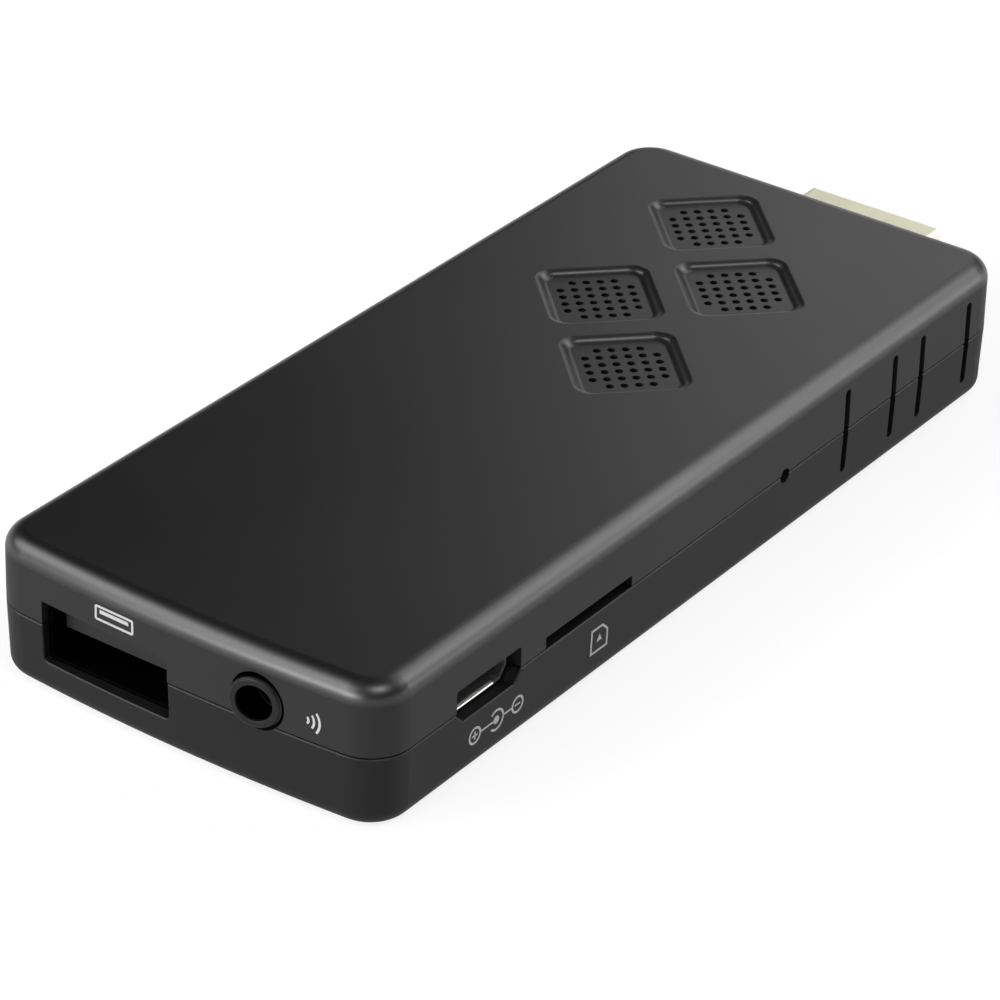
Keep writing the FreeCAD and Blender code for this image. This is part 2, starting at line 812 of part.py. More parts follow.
# Micro-USB socket
micro_back = micro_y + micro_length
micro_tongue_top = micro_bottom + micro_shell_height - micro_sheet - micro_tongue_drop


def micro_corners(shrink):
    """Corners of the sleeve's outline at its mouth, drawn in by a distance."""
    shape = hexagon(micro_shell_width - 2 * shrink, micro_shell_base - shrink,
                    micro_shell_height - 2 * shrink, micro_shell_side - shrink, micro_bottom + shrink,
                    micro_x)
    return [V(x, micro_y, z) for x, z in shape]


def micro_shell():
    """Six-sided metal sleeve, closed at the back, standing on the board."""
    sleeve = prism(micro_corners(nothing), V(0, micro_length, 0))
    sleeve = round_along(sleeve, V(0, 1, 0), micro_sheet)
    sleeve = sleeve.cut(prism(micro_corners(micro_sheet), V(0, micro_length - micro_sheet, 0)))
    tab_end = micro_back - micro_tab_from_back
    tabs = []
    for sign in (-1, 1):
        inner = micro_x + sign * (micro_shell_base / 2 - micro_sheet)
        outer = micro_x + sign * (micro_shell_width / 2 + micro_tab_width)
        tabs.append(box(min(inner, outer), max(inner, outer), tab_end - micro_tab_length, tab_end,
                        micro_bottom, micro_bottom + micro_sheet))
    return join([sleeve] + tabs)


def micro_contacts():
    """Short contacts on the underside of the tongue."""
    high = micro_tongue_top - micro_tongue_thickness
    front = micro_y + micro_tongue_recess + micro_contact_recess
    back = micro_back - micro_sheet - micro_contact_recess
    half = micro_contact_width / 2
    bars = []
    for number in range(micro_contact_count):
        x = micro_x + (number - (micro_contact_count - 1) / 2) * micro_contact_pitch
        bars.append(box(x - half, x + half, front, back, high - contact_sheet, high))
    return Part.Compound(bars)


def micro_tongue():
    """Black tongue near the wide side, on a block at the back of the sleeve."""
    back = micro_back - micro_sheet
    half = micro_tongue_width / 2
    tongue = box(micro_x - half, micro_x + half, micro_y + micro_tongue_recess, back,
                 micro_tongue_top - micro_tongue_thickness, micro_tongue_top)
    half = micro_shell_base / 2 - 2 * micro_sheet
    block = box(micro_x - half, micro_x + half, back - micro_block_depth, back, micro_bottom + micro_sheet,
                micro_bottom + micro_shell_height - micro_sheet)
    return join([tongue, block]).cut(micro_contacts())


# Memory card socket: push to lock, push to release
card_front = near_side + wall + board_gap / 2
card_back = card_front + card_socket_length
bay_floor = board_top + card_floor
bay_roof = bay_floor + card_bay_height
bay_left = card_x - card_bay_width / 2
bay_right = card_x + card_bay_width / 2
bay_back = card_back - card_back_wall
track_right = bay_right + slider_width + 2 * slider_gap
track_floor = bay_roof - slider_height - slider_gap
track_front = card_front + card_front_block
socket_left = bay_left - card_rail
socket_right = track_right + card_outer_rail
slider_x = bay_right + slider_gap + slider_width / 2
slider_front = track_front + slider_gap
slider_back = bay_back - slider_travel - 3 * slider_gap
spring_z = (track_floor + bay_roof) / 2
cam_y = card_front + card_front_block / 2
cam_z = bay_roof - cam_wire_radius - slider_gap
cam_wire_end = slider_front + slider_travel + cam_wire_overlap


def card_contact_x(number):
    """Contacts are counted from the left side of the bay, clear of the slider's foot."""
    return bay_left + card_contact_from_side + number * card_contact_pitch


def card_base():
    """Moulded tray: floor with contact windows, left rail, slider track and back wall."""
    above = bay_roof + 1
    tray = box(socket_left, socket_right, card_front, card_back, board_top, bay_roof)
    tray = tray.cut(box(bay_left, bay_right + slider_gap, card_front - 1, bay_back, bay_floor, above))
    tray = tray.cut(box(bay_right, track_right, track_front, bay_back, track_floor, above))
    half = card_contact_width / 2 + slider_gap
    for number in range(card_contact_count):
        x = card_contact_x(number)
        tray = tray.cut(box(x - half, x + half, card_back - card_window, card_back + 1, board_top - 1,
                            bay_floor + slider_gap))
    half = cam_wire_radius + slider_gap
    hook = V(slider_x, cam_y, cam_z)
    tray = tray.cut(rod(hook - V(0, 0, cam_hook_depth + slider_gap), hook + V(0, 0, 1), half))
    return tray.cut(box(slider_x - half, slider_x + half, cam_y, track_front + 1, cam_z - half, above))


def card_cover():
    """Sheet cover over the tray, folded down both sides, with three slots."""
    high = bay_roof + card_sheet
    cover = box(socket_left - card_sheet, socket_right + card_sheet, card_front, card_back, board_top, high)
    cover = cover.cut(box(socket_left, socket_right, card_front - 1, card_back + 1, board_top - 1, bay_roof))
    cover = round_along(cover, V(0, 1, 0), card_sheet_bend, lambda middle: middle.z > bay_roof)
    for from_front in cover_slots_from_front:
        y = card_front + from_front
        cover = cover.cut(box(card_x - cover_slot_length / 2, card_x + cover_slot_length / 2, y,
                              y + cover_slot_width, bay_roof - 1, high + 1))
    return cover


def card_contacts():
    """Bent strips in the floor windows, rising to touch the card, with feet on the board."""
    foot = card_back + card_contact_foot
    bend = card_back - card_contact_bend
    crest = card_back - card_contact_crest
    tip = card_back - card_contact_tip
    low = board_top
    high = bay_floor + card_contact_rise
    end = high - card_contact_hook
    sheet = card_contact_sheet
    side = [(foot, low), (foot, low + sheet), (bend, low + sheet), (crest, high), (tip, end),
            (tip, end - sheet), (crest, high - sheet), (bend, low)]
    strips = []
    for number in range(card_contact_count):
        x = card_contact_x(number) - card_contact_width / 2
        strips.append(prism([V(x, y, z) for y, z in side], V(card_contact_width, 0, 0)))
    return Part.Compound(strips)


def card_slider():
    """Push slider: arm in the track, foot behind the card, spring pocket and the cam groove."""
    low = track_floor + slider_gap
    high = bay_roof - slider_gap
    left = slider_x - slider_width / 2
    arm = box(left, left + slider_width, slider_front, slider_back, low, high)
    foot = box(left - slider_foot, slider_x, slider_back - slider_foot_thickness, slider_back,
               bay_floor + slider_gap, high)
    slider = join([arm, foot])
    pocket = V(slider_x, slider_back - spring_pocket, spring_z)
    slider = slider.cut(rod(pocket, pocket + V(0, spring_pocket + 1, 0), spring_radius + slider_gap))
    half = cam_wire_radius + 2 * slider_gap
    return slider.cut(box(slider_x - half, slider_x + half, slider_front - 1, cam_wire_end + cam_groove_spare,
                          high - cam_groove_depth, high + 1))


def card_spring():
    """Coil spring from the slider's pocket to the back wall."""
    start = slider_back - spring_pocket + slider_gap
    length = bay_back - slider_gap - start - spring_wire
    mean = spring_radius - spring_wire / 2
    helix = Part.makeLongHelix(length / spring_turns, length, mean)
    profile = Part.Wire([Part.Circle(V(mean, 0, 0), V(0, 1, 0), spring_wire / 2).toShape()])
    coil = Part.Wire(helix.Edges).makePipeShell([profile], True, True)
    coil.rotate(V(0, 0, 0), V(1, 0, 0), -90)
    coil.translate(V(slider_x, start + spring_wire / 2, spring_z))
    return coil


def cam_wire():
    """Wire that follows the cam groove, hooked down into the tray's front block."""
    bend = cam_wire_bend
    knee = bend * (1 - math.sqrt(0.5))
    foot = V(slider_x, cam_y, cam_z - cam_hook_depth)
    bend_start = V(slider_x, cam_y, cam_z - bend)
    bend_end = V(slider_x, cam_y + bend, cam_z)
    path = [
        Part.LineSegment(foot, bend_start),
        Part.Arc(bend_start, V(slider_x, cam_y + knee, cam_z - knee), bend_end),
        Part.LineSegment(bend_end, V(slider_x, cam_wire_end, cam_z)),
    ]
    profile = Part.Wire([Part.Circle(foot, V(0, 0, 1), cam_wire_radius).toShape()])
    return Part.Wire([piece.toShape() for piece in path]).makePipeShell([profile], True, False)


# Reset switch behind the pinhole
reset_front = near_side + wall + reset_behind_wall
reset_back = reset_front + reset_depth
reset_left = reset_x - reset_width / 2
reset_right = reset_x + reset_width / 2
plunger_front = near_side + wall + plunger_from_wall
plunger_low = reset_z - plunger_height / 2
plunger_high = reset_z + plunger_height / 2
chamber_front = reset_front + reset_wall
plunger_end = chamber_front + slider_gap / 2 + plunger_shoulder_thickness
chamber_back = plunger_end + reset_travel + dome_pressed_height
chamber_half = plunger_width / 2 + plunger_shoulder


def reset_body():
    """Moulded block with a chamber for the dome and a slot for the plunger."""
    body = box(reset_left, reset_right, reset_front, reset_back, board_top, board_top + reset_height)
    low = plunger_low - slider_gap
    high = plunger_high + slider_gap
    half = plunger_width / 2 + slider_gap
    body = body.cut(box(reset_x - half, reset_x + half, reset_front - 1, chamber_front + slider_gap, low,
                        high))
    return body.cut(box(reset_x - chamber_half, reset_x + chamber_half, chamber_front, chamber_back, low,
                        high))


def reset_frame():
    """Sheet bracket over the top and down both ends of the block, with solder feet."""
    high = board_top + reset_height
    front = reset_front + reset_sheet_margin
    frame = box(reset_left - reset_sheet, reset_right + reset_sheet, front, front + reset_sheet_length,
                board_top, high + reset_sheet)
    frame = frame.cut(box(reset_left, reset_right, reset_front - 1, reset_back + 1, board_top - 1, high))
    foot_front = reset_front + reset_foot_from_front
    feet = []
    for sign in (-1, 1):
        inner = reset_x + sign * (reset_width / 2 + reset_sheet / 2)
        outer = reset_x + sign * (reset_width / 2 + reset_sheet + reset_foot_width)
        feet.append(box(min(inner, outer), max(inner, outer), foot_front, foot_front + reset_foot_length,
                        board_top, board_top + reset_sheet))
    return join([frame] + feet)


def reset_plunger():
    """Push pin with a shoulder that keeps it in the block."""
    stem = box(reset_x - plunger_width / 2, reset_x + plunger_width / 2, plunger_front, plunger_end,
               plunger_low, plunger_high)
    half = chamber_half - slider_gap
    stop = box(reset_x - half, reset_x + half, chamber_front + slider_gap / 2, plunger_end, plunger_low,
               plunger_high)
    return join([stem, stop])


def reset_dome():
    """Snap dome: a thin bowed strip between the plunger and the back of the chamber."""
    half = chamber_half - slider_gap
    low = plunger_low + slider_gap
    front = plunger_end + dome_gap

    def bow(reach, crown):
        ends = (V(reset_x - reach, chamber_back, low), V(reset_x + reach, chamber_back, low))
        return Part.Arc(ends[0], V(reset_x, crown, low), ends[1]), ends

    outer, outer_ends = bow(half, front)
    inner, inner_ends = bow(half - dome_thickness, front + dome_thickness)
    edges = [outer, Part.LineSegment(outer_ends[1], inner_ends[1]), inner,
             Part.LineSegment(inner_ends[0], outer_ends[0])]
    strip = Part.Face(Part.Wire(Part.__sortEdges__([edge.toShape() for edge in edges])))
    return strip.extrude(V(0, 0, plunger_height - 2 * slider_gap))


# Chips and small parts: places follow from the neighbours that they stand beside
soc_x = right_end - soc_from_end
soc_top = board_top + soc_height
sink_half = soc_side / 2 + sink_overhang
ram_near_y = (board_near - soc_side / 2) / 2
ram_far_y = (board_far + soc_side / 2) / 2
wifi_x = far_screw_x + screw_head_radius + board_gap / 2 + wifi_side / 2
antenna_y = board_far - antenna_gap - antenna_width / 2
wifi_y = antenna_y - antenna_width / 2 - antenna_gap - wifi_side / 2
wifi_top = board_top + wifi_board_thickness
wifi_crystal_x = wifi_x + wifi_side / 2 + crystal_gap + crystal_width / 2
soc_crystal_x = soc_x + soc_side / 2 + crystal_gap + crystal_width / 2
flash_x = wifi_crystal_x + crystal_width / 2 + crystal_gap + flash_width / 2
flash_y = board_far - flash_from_board_edge - flash_length / 2
power_left = socket_right + card_sheet
power_right = soc_x - sink_half
power_x = (power_left + power_right) / 2
inductor_count = int((power_right - power_left) / inductor_pitch)
inductor_y = board_near + inductor_from_board_edge + inductor_side / 2
power_y = inductor_y + inductor_side / 2 + part_gap + power_chip_side / 2
capacitor_x = (jack_back + socket_left - card_sheet) / 2
capacitor_y = micro_back + part_gap + capacitor_width / 2


def package(x, y, length, width, height, z):
    """Flat package standing at z, with its upright edges just broken."""
    body = box(x - length / 2, x + length / 2, y - width / 2, y + width / 2, z, z + height)
    return round_along(body, V(0, 0, 1), chip_corner)


def heat_sink():
    """Finned aluminium plate on the processor's thermal pad."""
    low = soc_top + thermal_pad_thickness
    plate = box(soc_x - sink_half, soc_x + sink_half, -sink_half, sink_half, low, low + sink_base)
    pitch = (2 * sink_half - sink_fin_thickness) / (sink_fins - 1)
    fins = []
    for number in range(sink_fins):
        y = -sink_half + pitch * number
        fins.append(box(soc_x - sink_half, soc_x + sink_half, y, y + sink_fin_thickness, low,
                        low + sink_base + sink_fin_height))
    return join([plate] + fins)


def ram_chips():
    """Four memory chips: one pair above and one below the board, beside the processor."""
    chips = []
    for y in (ram_near_y, ram_far_y):
        for z in (board_top, board_bottom - ram_height):
            chips.append(package(soc_x, y, ram_length, ram_width, ram_height, z))
    return Part.Compound(chips)


def wifi_can():
    """Thin sheet lid over the wireless chip, open underneath."""
    side = wifi_side - 2 * wifi_can_margin
    inside = side / 2 - wifi_can_sheet
    can = package(wifi_x, wifi_y, side, side, wifi_can_height, wifi_top)
    return can.cut(box(wifi_x - inside, wifi_x + inside, wifi_y - inside, wifi_y + inside, wifi_top,
                       wifi_top + wifi_can_height - wifi_can_sheet))


def clock_crystals():
    """Two timing crystals, one beside the wireless board and one beside the processor."""
    places = [(wifi_crystal_x, wifi_y), (soc_crystal_x, nothing)]
    return Part.Compound([package(x, y, crystal_width, crystal_length, crystal_height, board_top)
                          for x, y in places])


def power_inductors():
    """Coil blocks of the power supplies, in a row that fits between the card socket and the heat sink."""
    blocks = []
    for number in range(inductor_count):
        x = power_x + (number - (inductor_count - 1) / 2) * inductor_pitch
        blocks.append(package(x, inductor_y, inductor_side, inductor_side, inductor_height, board_top))
    return Part.Compound(blocks)


def bulk_capacitors():
    """Large capacitors: a column behind the power socket and a pair under the power chip."""
    blocks = []
    for number in range(input_capacitors):
        blocks.append(package(capacitor_x, capacitor_y + number * capacitor_pitch, capacitor_length,
                              capacitor_width, capacitor_height, board_top))
    for number in range(output_capacitors):
        y = power_y + (number - (output_capacitors - 1) / 2) * capacitor_pitch
        blocks.append(package(power_x, y, capacitor_length, capacitor_width, capacitor_height,
                              board_bottom - capacitor_height))
    return Part.Compound(blocks)


def small_capacitors():
    """Rows of small ceramic parts: under the processor, under the flash chip and behind the HDMI plug."""
    parts = []
    for number in range(small_parts_under):
        x = soc_x + (number - (small_parts_under - 1) / 2) * small_part_pitch
        parts.append(package(x, nothing, small_part_width, small_part_length, small_part_height,
                             board_bottom - small_part_height))
    for number in range(small_parts_under_flash):
        x = flash_x + (number - (small_parts_under_flash - 1) / 2) * small_part_pitch
        parts.append(package(x, flash_y, small_part_width, small_part_length, small_part_height,
                             board_bottom - small_part_height))
    column_x = plug_back - contact_tail - part_gap - small_part_length / 2
    for number in range(small_parts_by_plug):
        y = (number - (small_parts_by_plug - 1) / 2) * small_part_pitch
        parts.append(package(column_x, y, small_part_length, small_part_width, small_part_height, board_top))
    return Part.Compound(parts)


pieces = {
    "top_cover": top_cover(),
    "bottom_cover": bottom_cover(),
    "main_board": main_board(),
    "board_screws": board_screws(),
    "soc_chip": package(soc_x, nothing, soc_side, soc_side, soc_height, board_top),
    "thermal_pad": package(soc_x, nothing, thermal_pad_side, thermal_pad_side, thermal_pad_thickness,
                           soc_top),
    "heat_sink": heat_sink(),
    "ram_chips": ram_chips(),
    "flash_chip": package(flash_x, flash_y, flash_width, flash_length, flash_height, board_top),
    "wifi_board": package(wifi_x, wifi_y, wifi_side, wifi_side, wifi_board_thickness, board_top),
    "wifi_chip": package(wifi_x, wifi_y, wifi_chip_side, wifi_chip_side, wifi_chip_height, wifi_top),
    "wifi_shield_can": wifi_can(),
    "chip_antenna": package(wifi_x, antenna_y, antenna_length, antenna_width, antenna_height, board_top),
    "power_chip": package(power_x, power_y, power_chip_side, power_chip_side, power_chip_height, board_top),
    "power_inductors": power_inductors(),
    "bulk_capacitors": bulk_capacitors(),
    "small_capacitors": small_capacitors(),
    "clock_crystals": clock_crystals(),
    "hdmi_plug_shell": hdmi_shell(),
    "hdmi_plug_insulator": hdmi_insulator(),
    "hdmi_plug_contacts": hdmi_contacts(),
    "usb_a_shell": usb_shell(),
    "usb_a_tongue": usb_tongue(),
    "usb_a_contacts": usb_contacts(),
    "ir_jack_housing": jack_housing(),
    "ir_jack_collar": jack_collar(),
    "ir_jack_springs": jack_springs(),
    "micro_usb_shell": micro_shell(),
    "micro_usb_tongue": micro_tongue(),
    "micro_usb_contacts": micro_contacts(),
    "card_socket_base": card_base(),
    "card_socket_cover": card_cover(),
    "card_contacts": card_contacts(),
    "card_slider": card_slider(),
    "card_eject_spring": card_spring(),
    "card_cam_wire": cam_wire(),
    "reset_switch_body": reset_body(),
    "reset_switch_frame": reset_frame(),
    "reset_plunger": reset_plunger(),
    "reset_dome": reset_dome(),
}
for name, shape in pieces.items():
    save(shape, name)
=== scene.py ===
# %% [markdown]
# A streaming stick in Blender: a flat black plastic casing that plugs straight into a television.
# The construction comes in ready made and fixed, at its real size in metres. What is done here is
# what a person sees: the finish of each piece, the printed marks beside the sockets, the two springs
# that give way when something is pressed, the rolled lip of one socket, and the studio round it.

# %% Load the construction
import bpy
import json
import math
from mathutils import Matrix, Vector


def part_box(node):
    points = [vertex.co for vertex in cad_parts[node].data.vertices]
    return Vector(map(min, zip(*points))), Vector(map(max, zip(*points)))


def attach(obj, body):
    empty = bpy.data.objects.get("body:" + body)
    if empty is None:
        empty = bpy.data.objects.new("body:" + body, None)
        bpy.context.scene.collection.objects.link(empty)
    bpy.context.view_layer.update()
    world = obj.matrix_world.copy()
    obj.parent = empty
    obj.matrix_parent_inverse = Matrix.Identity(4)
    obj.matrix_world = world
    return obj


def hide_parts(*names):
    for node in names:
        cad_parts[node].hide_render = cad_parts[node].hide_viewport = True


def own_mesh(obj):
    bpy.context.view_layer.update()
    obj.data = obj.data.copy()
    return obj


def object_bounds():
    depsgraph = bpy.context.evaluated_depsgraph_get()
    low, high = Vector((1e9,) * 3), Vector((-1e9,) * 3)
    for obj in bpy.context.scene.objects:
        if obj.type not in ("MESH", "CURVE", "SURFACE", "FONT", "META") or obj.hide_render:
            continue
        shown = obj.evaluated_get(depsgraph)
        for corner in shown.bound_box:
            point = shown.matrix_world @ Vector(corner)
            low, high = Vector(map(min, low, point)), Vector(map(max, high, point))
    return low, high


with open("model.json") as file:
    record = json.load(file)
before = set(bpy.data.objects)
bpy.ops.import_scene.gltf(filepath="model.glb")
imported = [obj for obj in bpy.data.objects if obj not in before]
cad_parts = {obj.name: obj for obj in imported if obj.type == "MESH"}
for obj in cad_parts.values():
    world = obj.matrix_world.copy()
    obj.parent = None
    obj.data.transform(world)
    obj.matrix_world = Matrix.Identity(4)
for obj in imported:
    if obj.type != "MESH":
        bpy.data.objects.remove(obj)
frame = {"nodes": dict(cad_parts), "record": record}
cad_low, cad_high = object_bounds()
mm = 0.001
print("CAD box in mm:", [round(v / mm, 2) for v in (*cad_low, *cad_high)])

# %% [markdown]
# Every finish is a small tree of nodes that ends in one shader. These three helpers save repeating
# the same clicks: one adds a node, one starts a finish, one joins patterns to its shader.

# %% Nodes and shaders
def put(tree, kind, sockets=None, **settings):
    """Adds a node. A socket is given a value, or another node's output to be joined to."""
    made = tree.nodes.new(kind)
    for name, value in settings.items():
        setattr(made, name, value)
    for name, value in (sockets or {}).items():
        if isinstance(value, bpy.types.NodeSocket):
            tree.links.new(value, made.inputs[name])
        else:
            made.inputs[name].default_value = value
    return made


def new_finish(name, **values):
    """A finish with one shader. Values that are the same all over go on the shader's own sockets."""
    finish = bpy.data.materials.new(name)
    finish.use_nodes = True
    shader = finish.node_tree.nodes["Principled BSDF"]
    for socket, value in values.items():
        shader.inputs[socket.replace("_", " ")].default_value = value
    return finish, finish.node_tree, shader


def drive(tree, shader, **patterns):
    """Joins patterns to the shader's sockets."""
    for socket, pattern in patterns.items():
        tree.links.new(pattern, shader.inputs[socket.replace("_", " ")])


# %% [markdown]
# A pattern is read from Object coordinates, which are metres on the real object, so a grain of a
# tenth of a millimetre stays a tenth of a millimetre, wherever it falls on the piece.

# %% Where a pattern comes from
def place(tree):
    """The place on the object, in metres."""
    return put(tree, "ShaderNodeTexCoord").outputs["Object"]


def along(tree, axis):
    """One coordinate of the place: X, Y or Z."""
    return put(tree, "ShaderNodeSeparateXYZ", {"Vector": place(tree)}).outputs[axis]


def grain(tree, size, stretch=(1, 1, 1), detail=2.0):
    """Soft random pattern whose spots are about that size, in metres, stretched if asked."""
    scaled = put(tree, "ShaderNodeMapping", {"Vector": place(tree), "Scale": [1 / s for s in stretch]})
    return put(tree, "ShaderNodeTexNoise",
               {"Vector": scaled.outputs["Vector"], "Scale": 1 / size, "Detail": detail}).outputs["Fac"]


# %% [markdown]
# The pattern is then turned into what a socket wants: a number in a range, a colour between two
# colours, or small ups and downs of the surface.

# %% What a pattern becomes
def between(tree, pattern, low, high, start=0.3, end=0.7):
    """Turns a pattern into a number between two values."""
    return put(tree, "ShaderNodeMapRange", {"Value": pattern, "From Min": start, "From Max": end,
                                            "To Min": low, "To Max": high}).outputs["Result"]


def colours(tree, pattern, dark, light):
    """Turns a pattern into a colour between two colours."""
    mix = put(tree, "ShaderNodeMix", {"Factor": pattern, "A": (*dark, 1), "B": (*light, 1)},
              data_type="RGBA")
    return mix.outputs["Result"]


def maths(tree, operation, a, b):
    """Plain arithmetic on two patterns or values."""
    return put(tree, "ShaderNodeMath", {0: a, 1: b}, operation=operation).outputs[0]


def relief(tree, shader, pattern, depth, strength=1.0):
    """Small ups and downs of a given depth in metres, felt by the light only."""
    bump = put(tree, "ShaderNodeBump", {"Height": pattern, "Distance": depth, "Strength": strength})
    tree.links.new(bump.outputs["Normal"], shader.inputs["Normal"])


# %% [markdown]
# The casing is moulded in satin black plastic. The mould is polished finer on the lid than on the
# walls, which have to slide out of it, so the lid and its rounded edge shine a little, the walls are
# duller and the lower cover is dullest. The narrow bevels along the joint and round the openings
# are polished too, and draw a fine pale line. A colour texture would look painted on, so nearly
# all of it is roughness and relief, over a black that is hardly lighter in places.

# %% Finish of the casing
wall_top = 10.8 * mm
lid_start = 11.6 * mm
seam_height = 6.3 * mm
wall_roughness, lid_roughness = 0.60, 0.38
lower_gloss, upper_gloss, lid_gloss = 0.27, 0.42, 0.96
bevel_slopes = (0.45, 0.90)
bevel_polish = 0.35


def casing_finish():
    finish, tree, shader = new_finish("satin_black_plastic")
    broad = grain(tree, 18 * mm)
    lid = between(tree, along(tree, "Z"), 0, 1, wall_top, lid_start)
    facing = put(tree, "ShaderNodeTexCoord").outputs["Normal"]
    slope = put(tree, "ShaderNodeSeparateXYZ", {"Vector": facing}).outputs["Z"]
    bevelled = maths(tree, "MULTIPLY", maths(tree, "GREATER_THAN", slope, bevel_slopes[0]),
                     maths(tree, "LESS_THAN", slope, bevel_slopes[1]))
    polished = maths(tree, "MAXIMUM", lid, maths(tree, "MULTIPLY", bevelled, bevel_polish))
    upper = maths(tree, "GREATER_THAN", along(tree, "Z"), seam_height)
    cloud = between(tree, broad, -0.015, 0.015)
    walls = between(tree, upper, lower_gloss, upper_gloss, 0, 1)
    drive(tree, shader,
          Base_Color=colours(tree, between(tree, broad, 0, 1), (0.0022, 0.0022, 0.0023),
                             (0.0034, 0.0034, 0.0035)),
          Roughness=maths(tree, "ADD", between(tree, polished, wall_roughness, lid_roughness, 0, 1),
                          cloud),
          Specular_IOR_Level=between(tree, polished, walls, lid_gloss, 0, 1))
    relief(tree, shader, grain(tree, 0.16 * mm, detail=3.0), 0.0012 * mm)
    return finish


finishes = {"casing_plastic": casing_finish()}
print("casing done")

# %% [markdown]
# The boards are glass fibre under a green lacquer. Copper tracks run below it in bundles, each
# bundle straight along the board or across it, and stand up two hundredths of a millimetre. Big
# square cells choose the direction, and fine bands inside them are the tracks.

# %% Finish of the boards
bundle_size = 5 * mm
track_pitch = 0.55 * mm


def board_finish():
    finish, tree, shader = new_finish("green_lacquer", Coat_Weight=0.3, Coat_Roughness=0.2)
    cells = put(tree, "ShaderNodeTexVoronoi", {"Vector": place(tree), "Scale": 1 / bundle_size},
                distance="CHEBYCHEV").outputs["Color"]
    choice = put(tree, "ShaderNodeSeparateColor", {"Color": cells}).outputs["Red"]
    bands = []
    for axis in ("X", "Y"):
        turned = put(tree, "ShaderNodeMath", {0: along(tree, axis), 1: 2 * math.pi / track_pitch},
                     operation="MULTIPLY").outputs[0]
        bands.append(put(tree, "ShaderNodeMath", {0: turned}, operation="SINE").outputs[0])
    first = maths(tree, "MULTIPLY", bands[0], maths(tree, "GREATER_THAN", choice, 0.5))
    second = maths(tree, "MULTIPLY", bands[1], maths(tree, "LESS_THAN", choice, 0.5))
    tracks = between(tree, maths(tree, "ADD", first, second), 0, 1, 0.25, 0.45)
    drive(tree, shader, Base_Color=colours(tree, tracks, (0.008, 0.055, 0.026), (0.022, 0.125, 0.055)),
          Roughness=between(tree, grain(tree, 1.5 * mm), 0.28, 0.42))
    relief(tree, shader, tracks, 0.02 * mm)
    return finish


finishes["board_green"] = board_finish()
print("boards done")

# %% [markdown]
# Chips are cast in black epoxy filled with glass dust, so they are matt with a fine sparkle. The
# heat pad under the metal plate is soft blue silicone with shallow pits. Ferrite is a pressed
# powder, dark grey. The antenna and the capacitors are fired ceramic, smoother than the rest.
# All are mottled at one size and pitted at a finer one, so one function makes the five.

# %% Chips, pad, ferrite and ceramics
def powder_finish(name, dark, light, rough, spot, pit):
    """A dull cast or pressed material: mottled at one size, pitted at a finer one."""
    finish, tree, shader = new_finish(name)
    mottle = grain(tree, spot * mm, detail=4.0)
    pits = grain(tree, spot * 0.25 * mm, detail=3.0)
    drive(tree, shader, Base_Color=colours(tree, between(tree, mottle, 0, 1), dark, light),
          Roughness=between(tree, pits, rough - 0.08, rough + 0.08))
    relief(tree, shader, pits, pit * mm)
    return finish


finishes["chip_black"] = powder_finish("filled_epoxy", (0.010, 0.010, 0.011), (0.022, 0.022, 0.023),
                                       0.55, 0.30, 0.004)
finishes["pad_silicone"] = powder_finish("blue_silicone", (0.17, 0.26, 0.40), (0.23, 0.33, 0.47),
                                         0.72, 1.20, 0.020)
finishes["ferrite_grey"] = powder_finish("pressed_ferrite", (0.030, 0.030, 0.033), (0.070, 0.070, 0.074),
                                         0.66, 0.22, 0.010)
finishes["antenna_ceramic"] = powder_finish("white_ceramic", (0.66, 0.67, 0.64), (0.78, 0.79, 0.76),
                                            0.34, 0.50, 0.002)
finishes["capacitor_tan"] = powder_finish("fired_ceramic", (0.30, 0.19, 0.09), (0.43, 0.29, 0.15),
                                          0.42, 0.40, 0.003)
print("dull pieces done:", len(finishes))


# %% [markdown]
# Metals differ in how they were worked. Sheet for cans and sockets is rolled, so its lines run one
# way. The heat plate is extruded and shows lines along its length. Screws and springs are drawn and
# plated. Each gets the same build: worked lines that change the roughness and lift the surface a
# little, and a broad cloud where hands or flux have dulled it.

# %% Metals
def worked_metal(name, dark, light, rough, line, stretch, depth, cloud_size=4.0):
    """A metal with lines from its working and a broad, faint dulling."""
    finish, tree, shader = new_finish(name, Metallic=1.0)
    lines = grain(tree, line * mm, stretch, detail=3.0)
    cloud = grain(tree, cloud_size * mm)
    dulled = maths(tree, "ADD", between(tree, lines, rough - 0.04, rough + 0.04),
                   between(tree, cloud, -0.03, 0.05))
    drive(tree, shader, Base_Color=colours(tree, between(tree, cloud, 0, 1), dark, light),
          Roughness=dulled)
    relief(tree, shader, lines, depth * mm)
    return finish


finishes["screw_steel"] = worked_metal("zinc_plated_steel", (0.50, 0.51, 0.53), (0.62, 0.63, 0.65),
                                       0.30, 0.06, (1, 1, 6), 0.0012, 1.0)
finishes["sink_aluminium"] = worked_metal("extruded_aluminium", (0.70, 0.71, 0.73), (0.80, 0.81, 0.83),
                                          0.34, 0.05, (40, 1, 1), 0.0020)
finishes["crystal_can"] = worked_metal("nickel_can", (0.62, 0.61, 0.58), (0.72, 0.71, 0.68),
                                       0.24, 0.04, (12, 1, 1), 0.0008, 1.5)
finishes["spring_steel"] = worked_metal("drawn_spring_steel", (0.48, 0.48, 0.49), (0.60, 0.60, 0.61),
                                        0.26, 0.03, (1, 8, 1), 0.0006, 0.8)
finishes["contact_gold"] = worked_metal("gold_flash", (0.80, 0.58, 0.25), (0.92, 0.70, 0.34),
                                        0.24, 0.04, (14, 1, 1), 0.0006, 0.9)
finishes["socket_steel"] = worked_metal("tinned_sheet", (0.66, 0.66, 0.66), (0.78, 0.78, 0.77),
                                        0.33, 0.05, (30, 1, 1), 0.0006, 2.0)
print("metals done:", len(finishes))

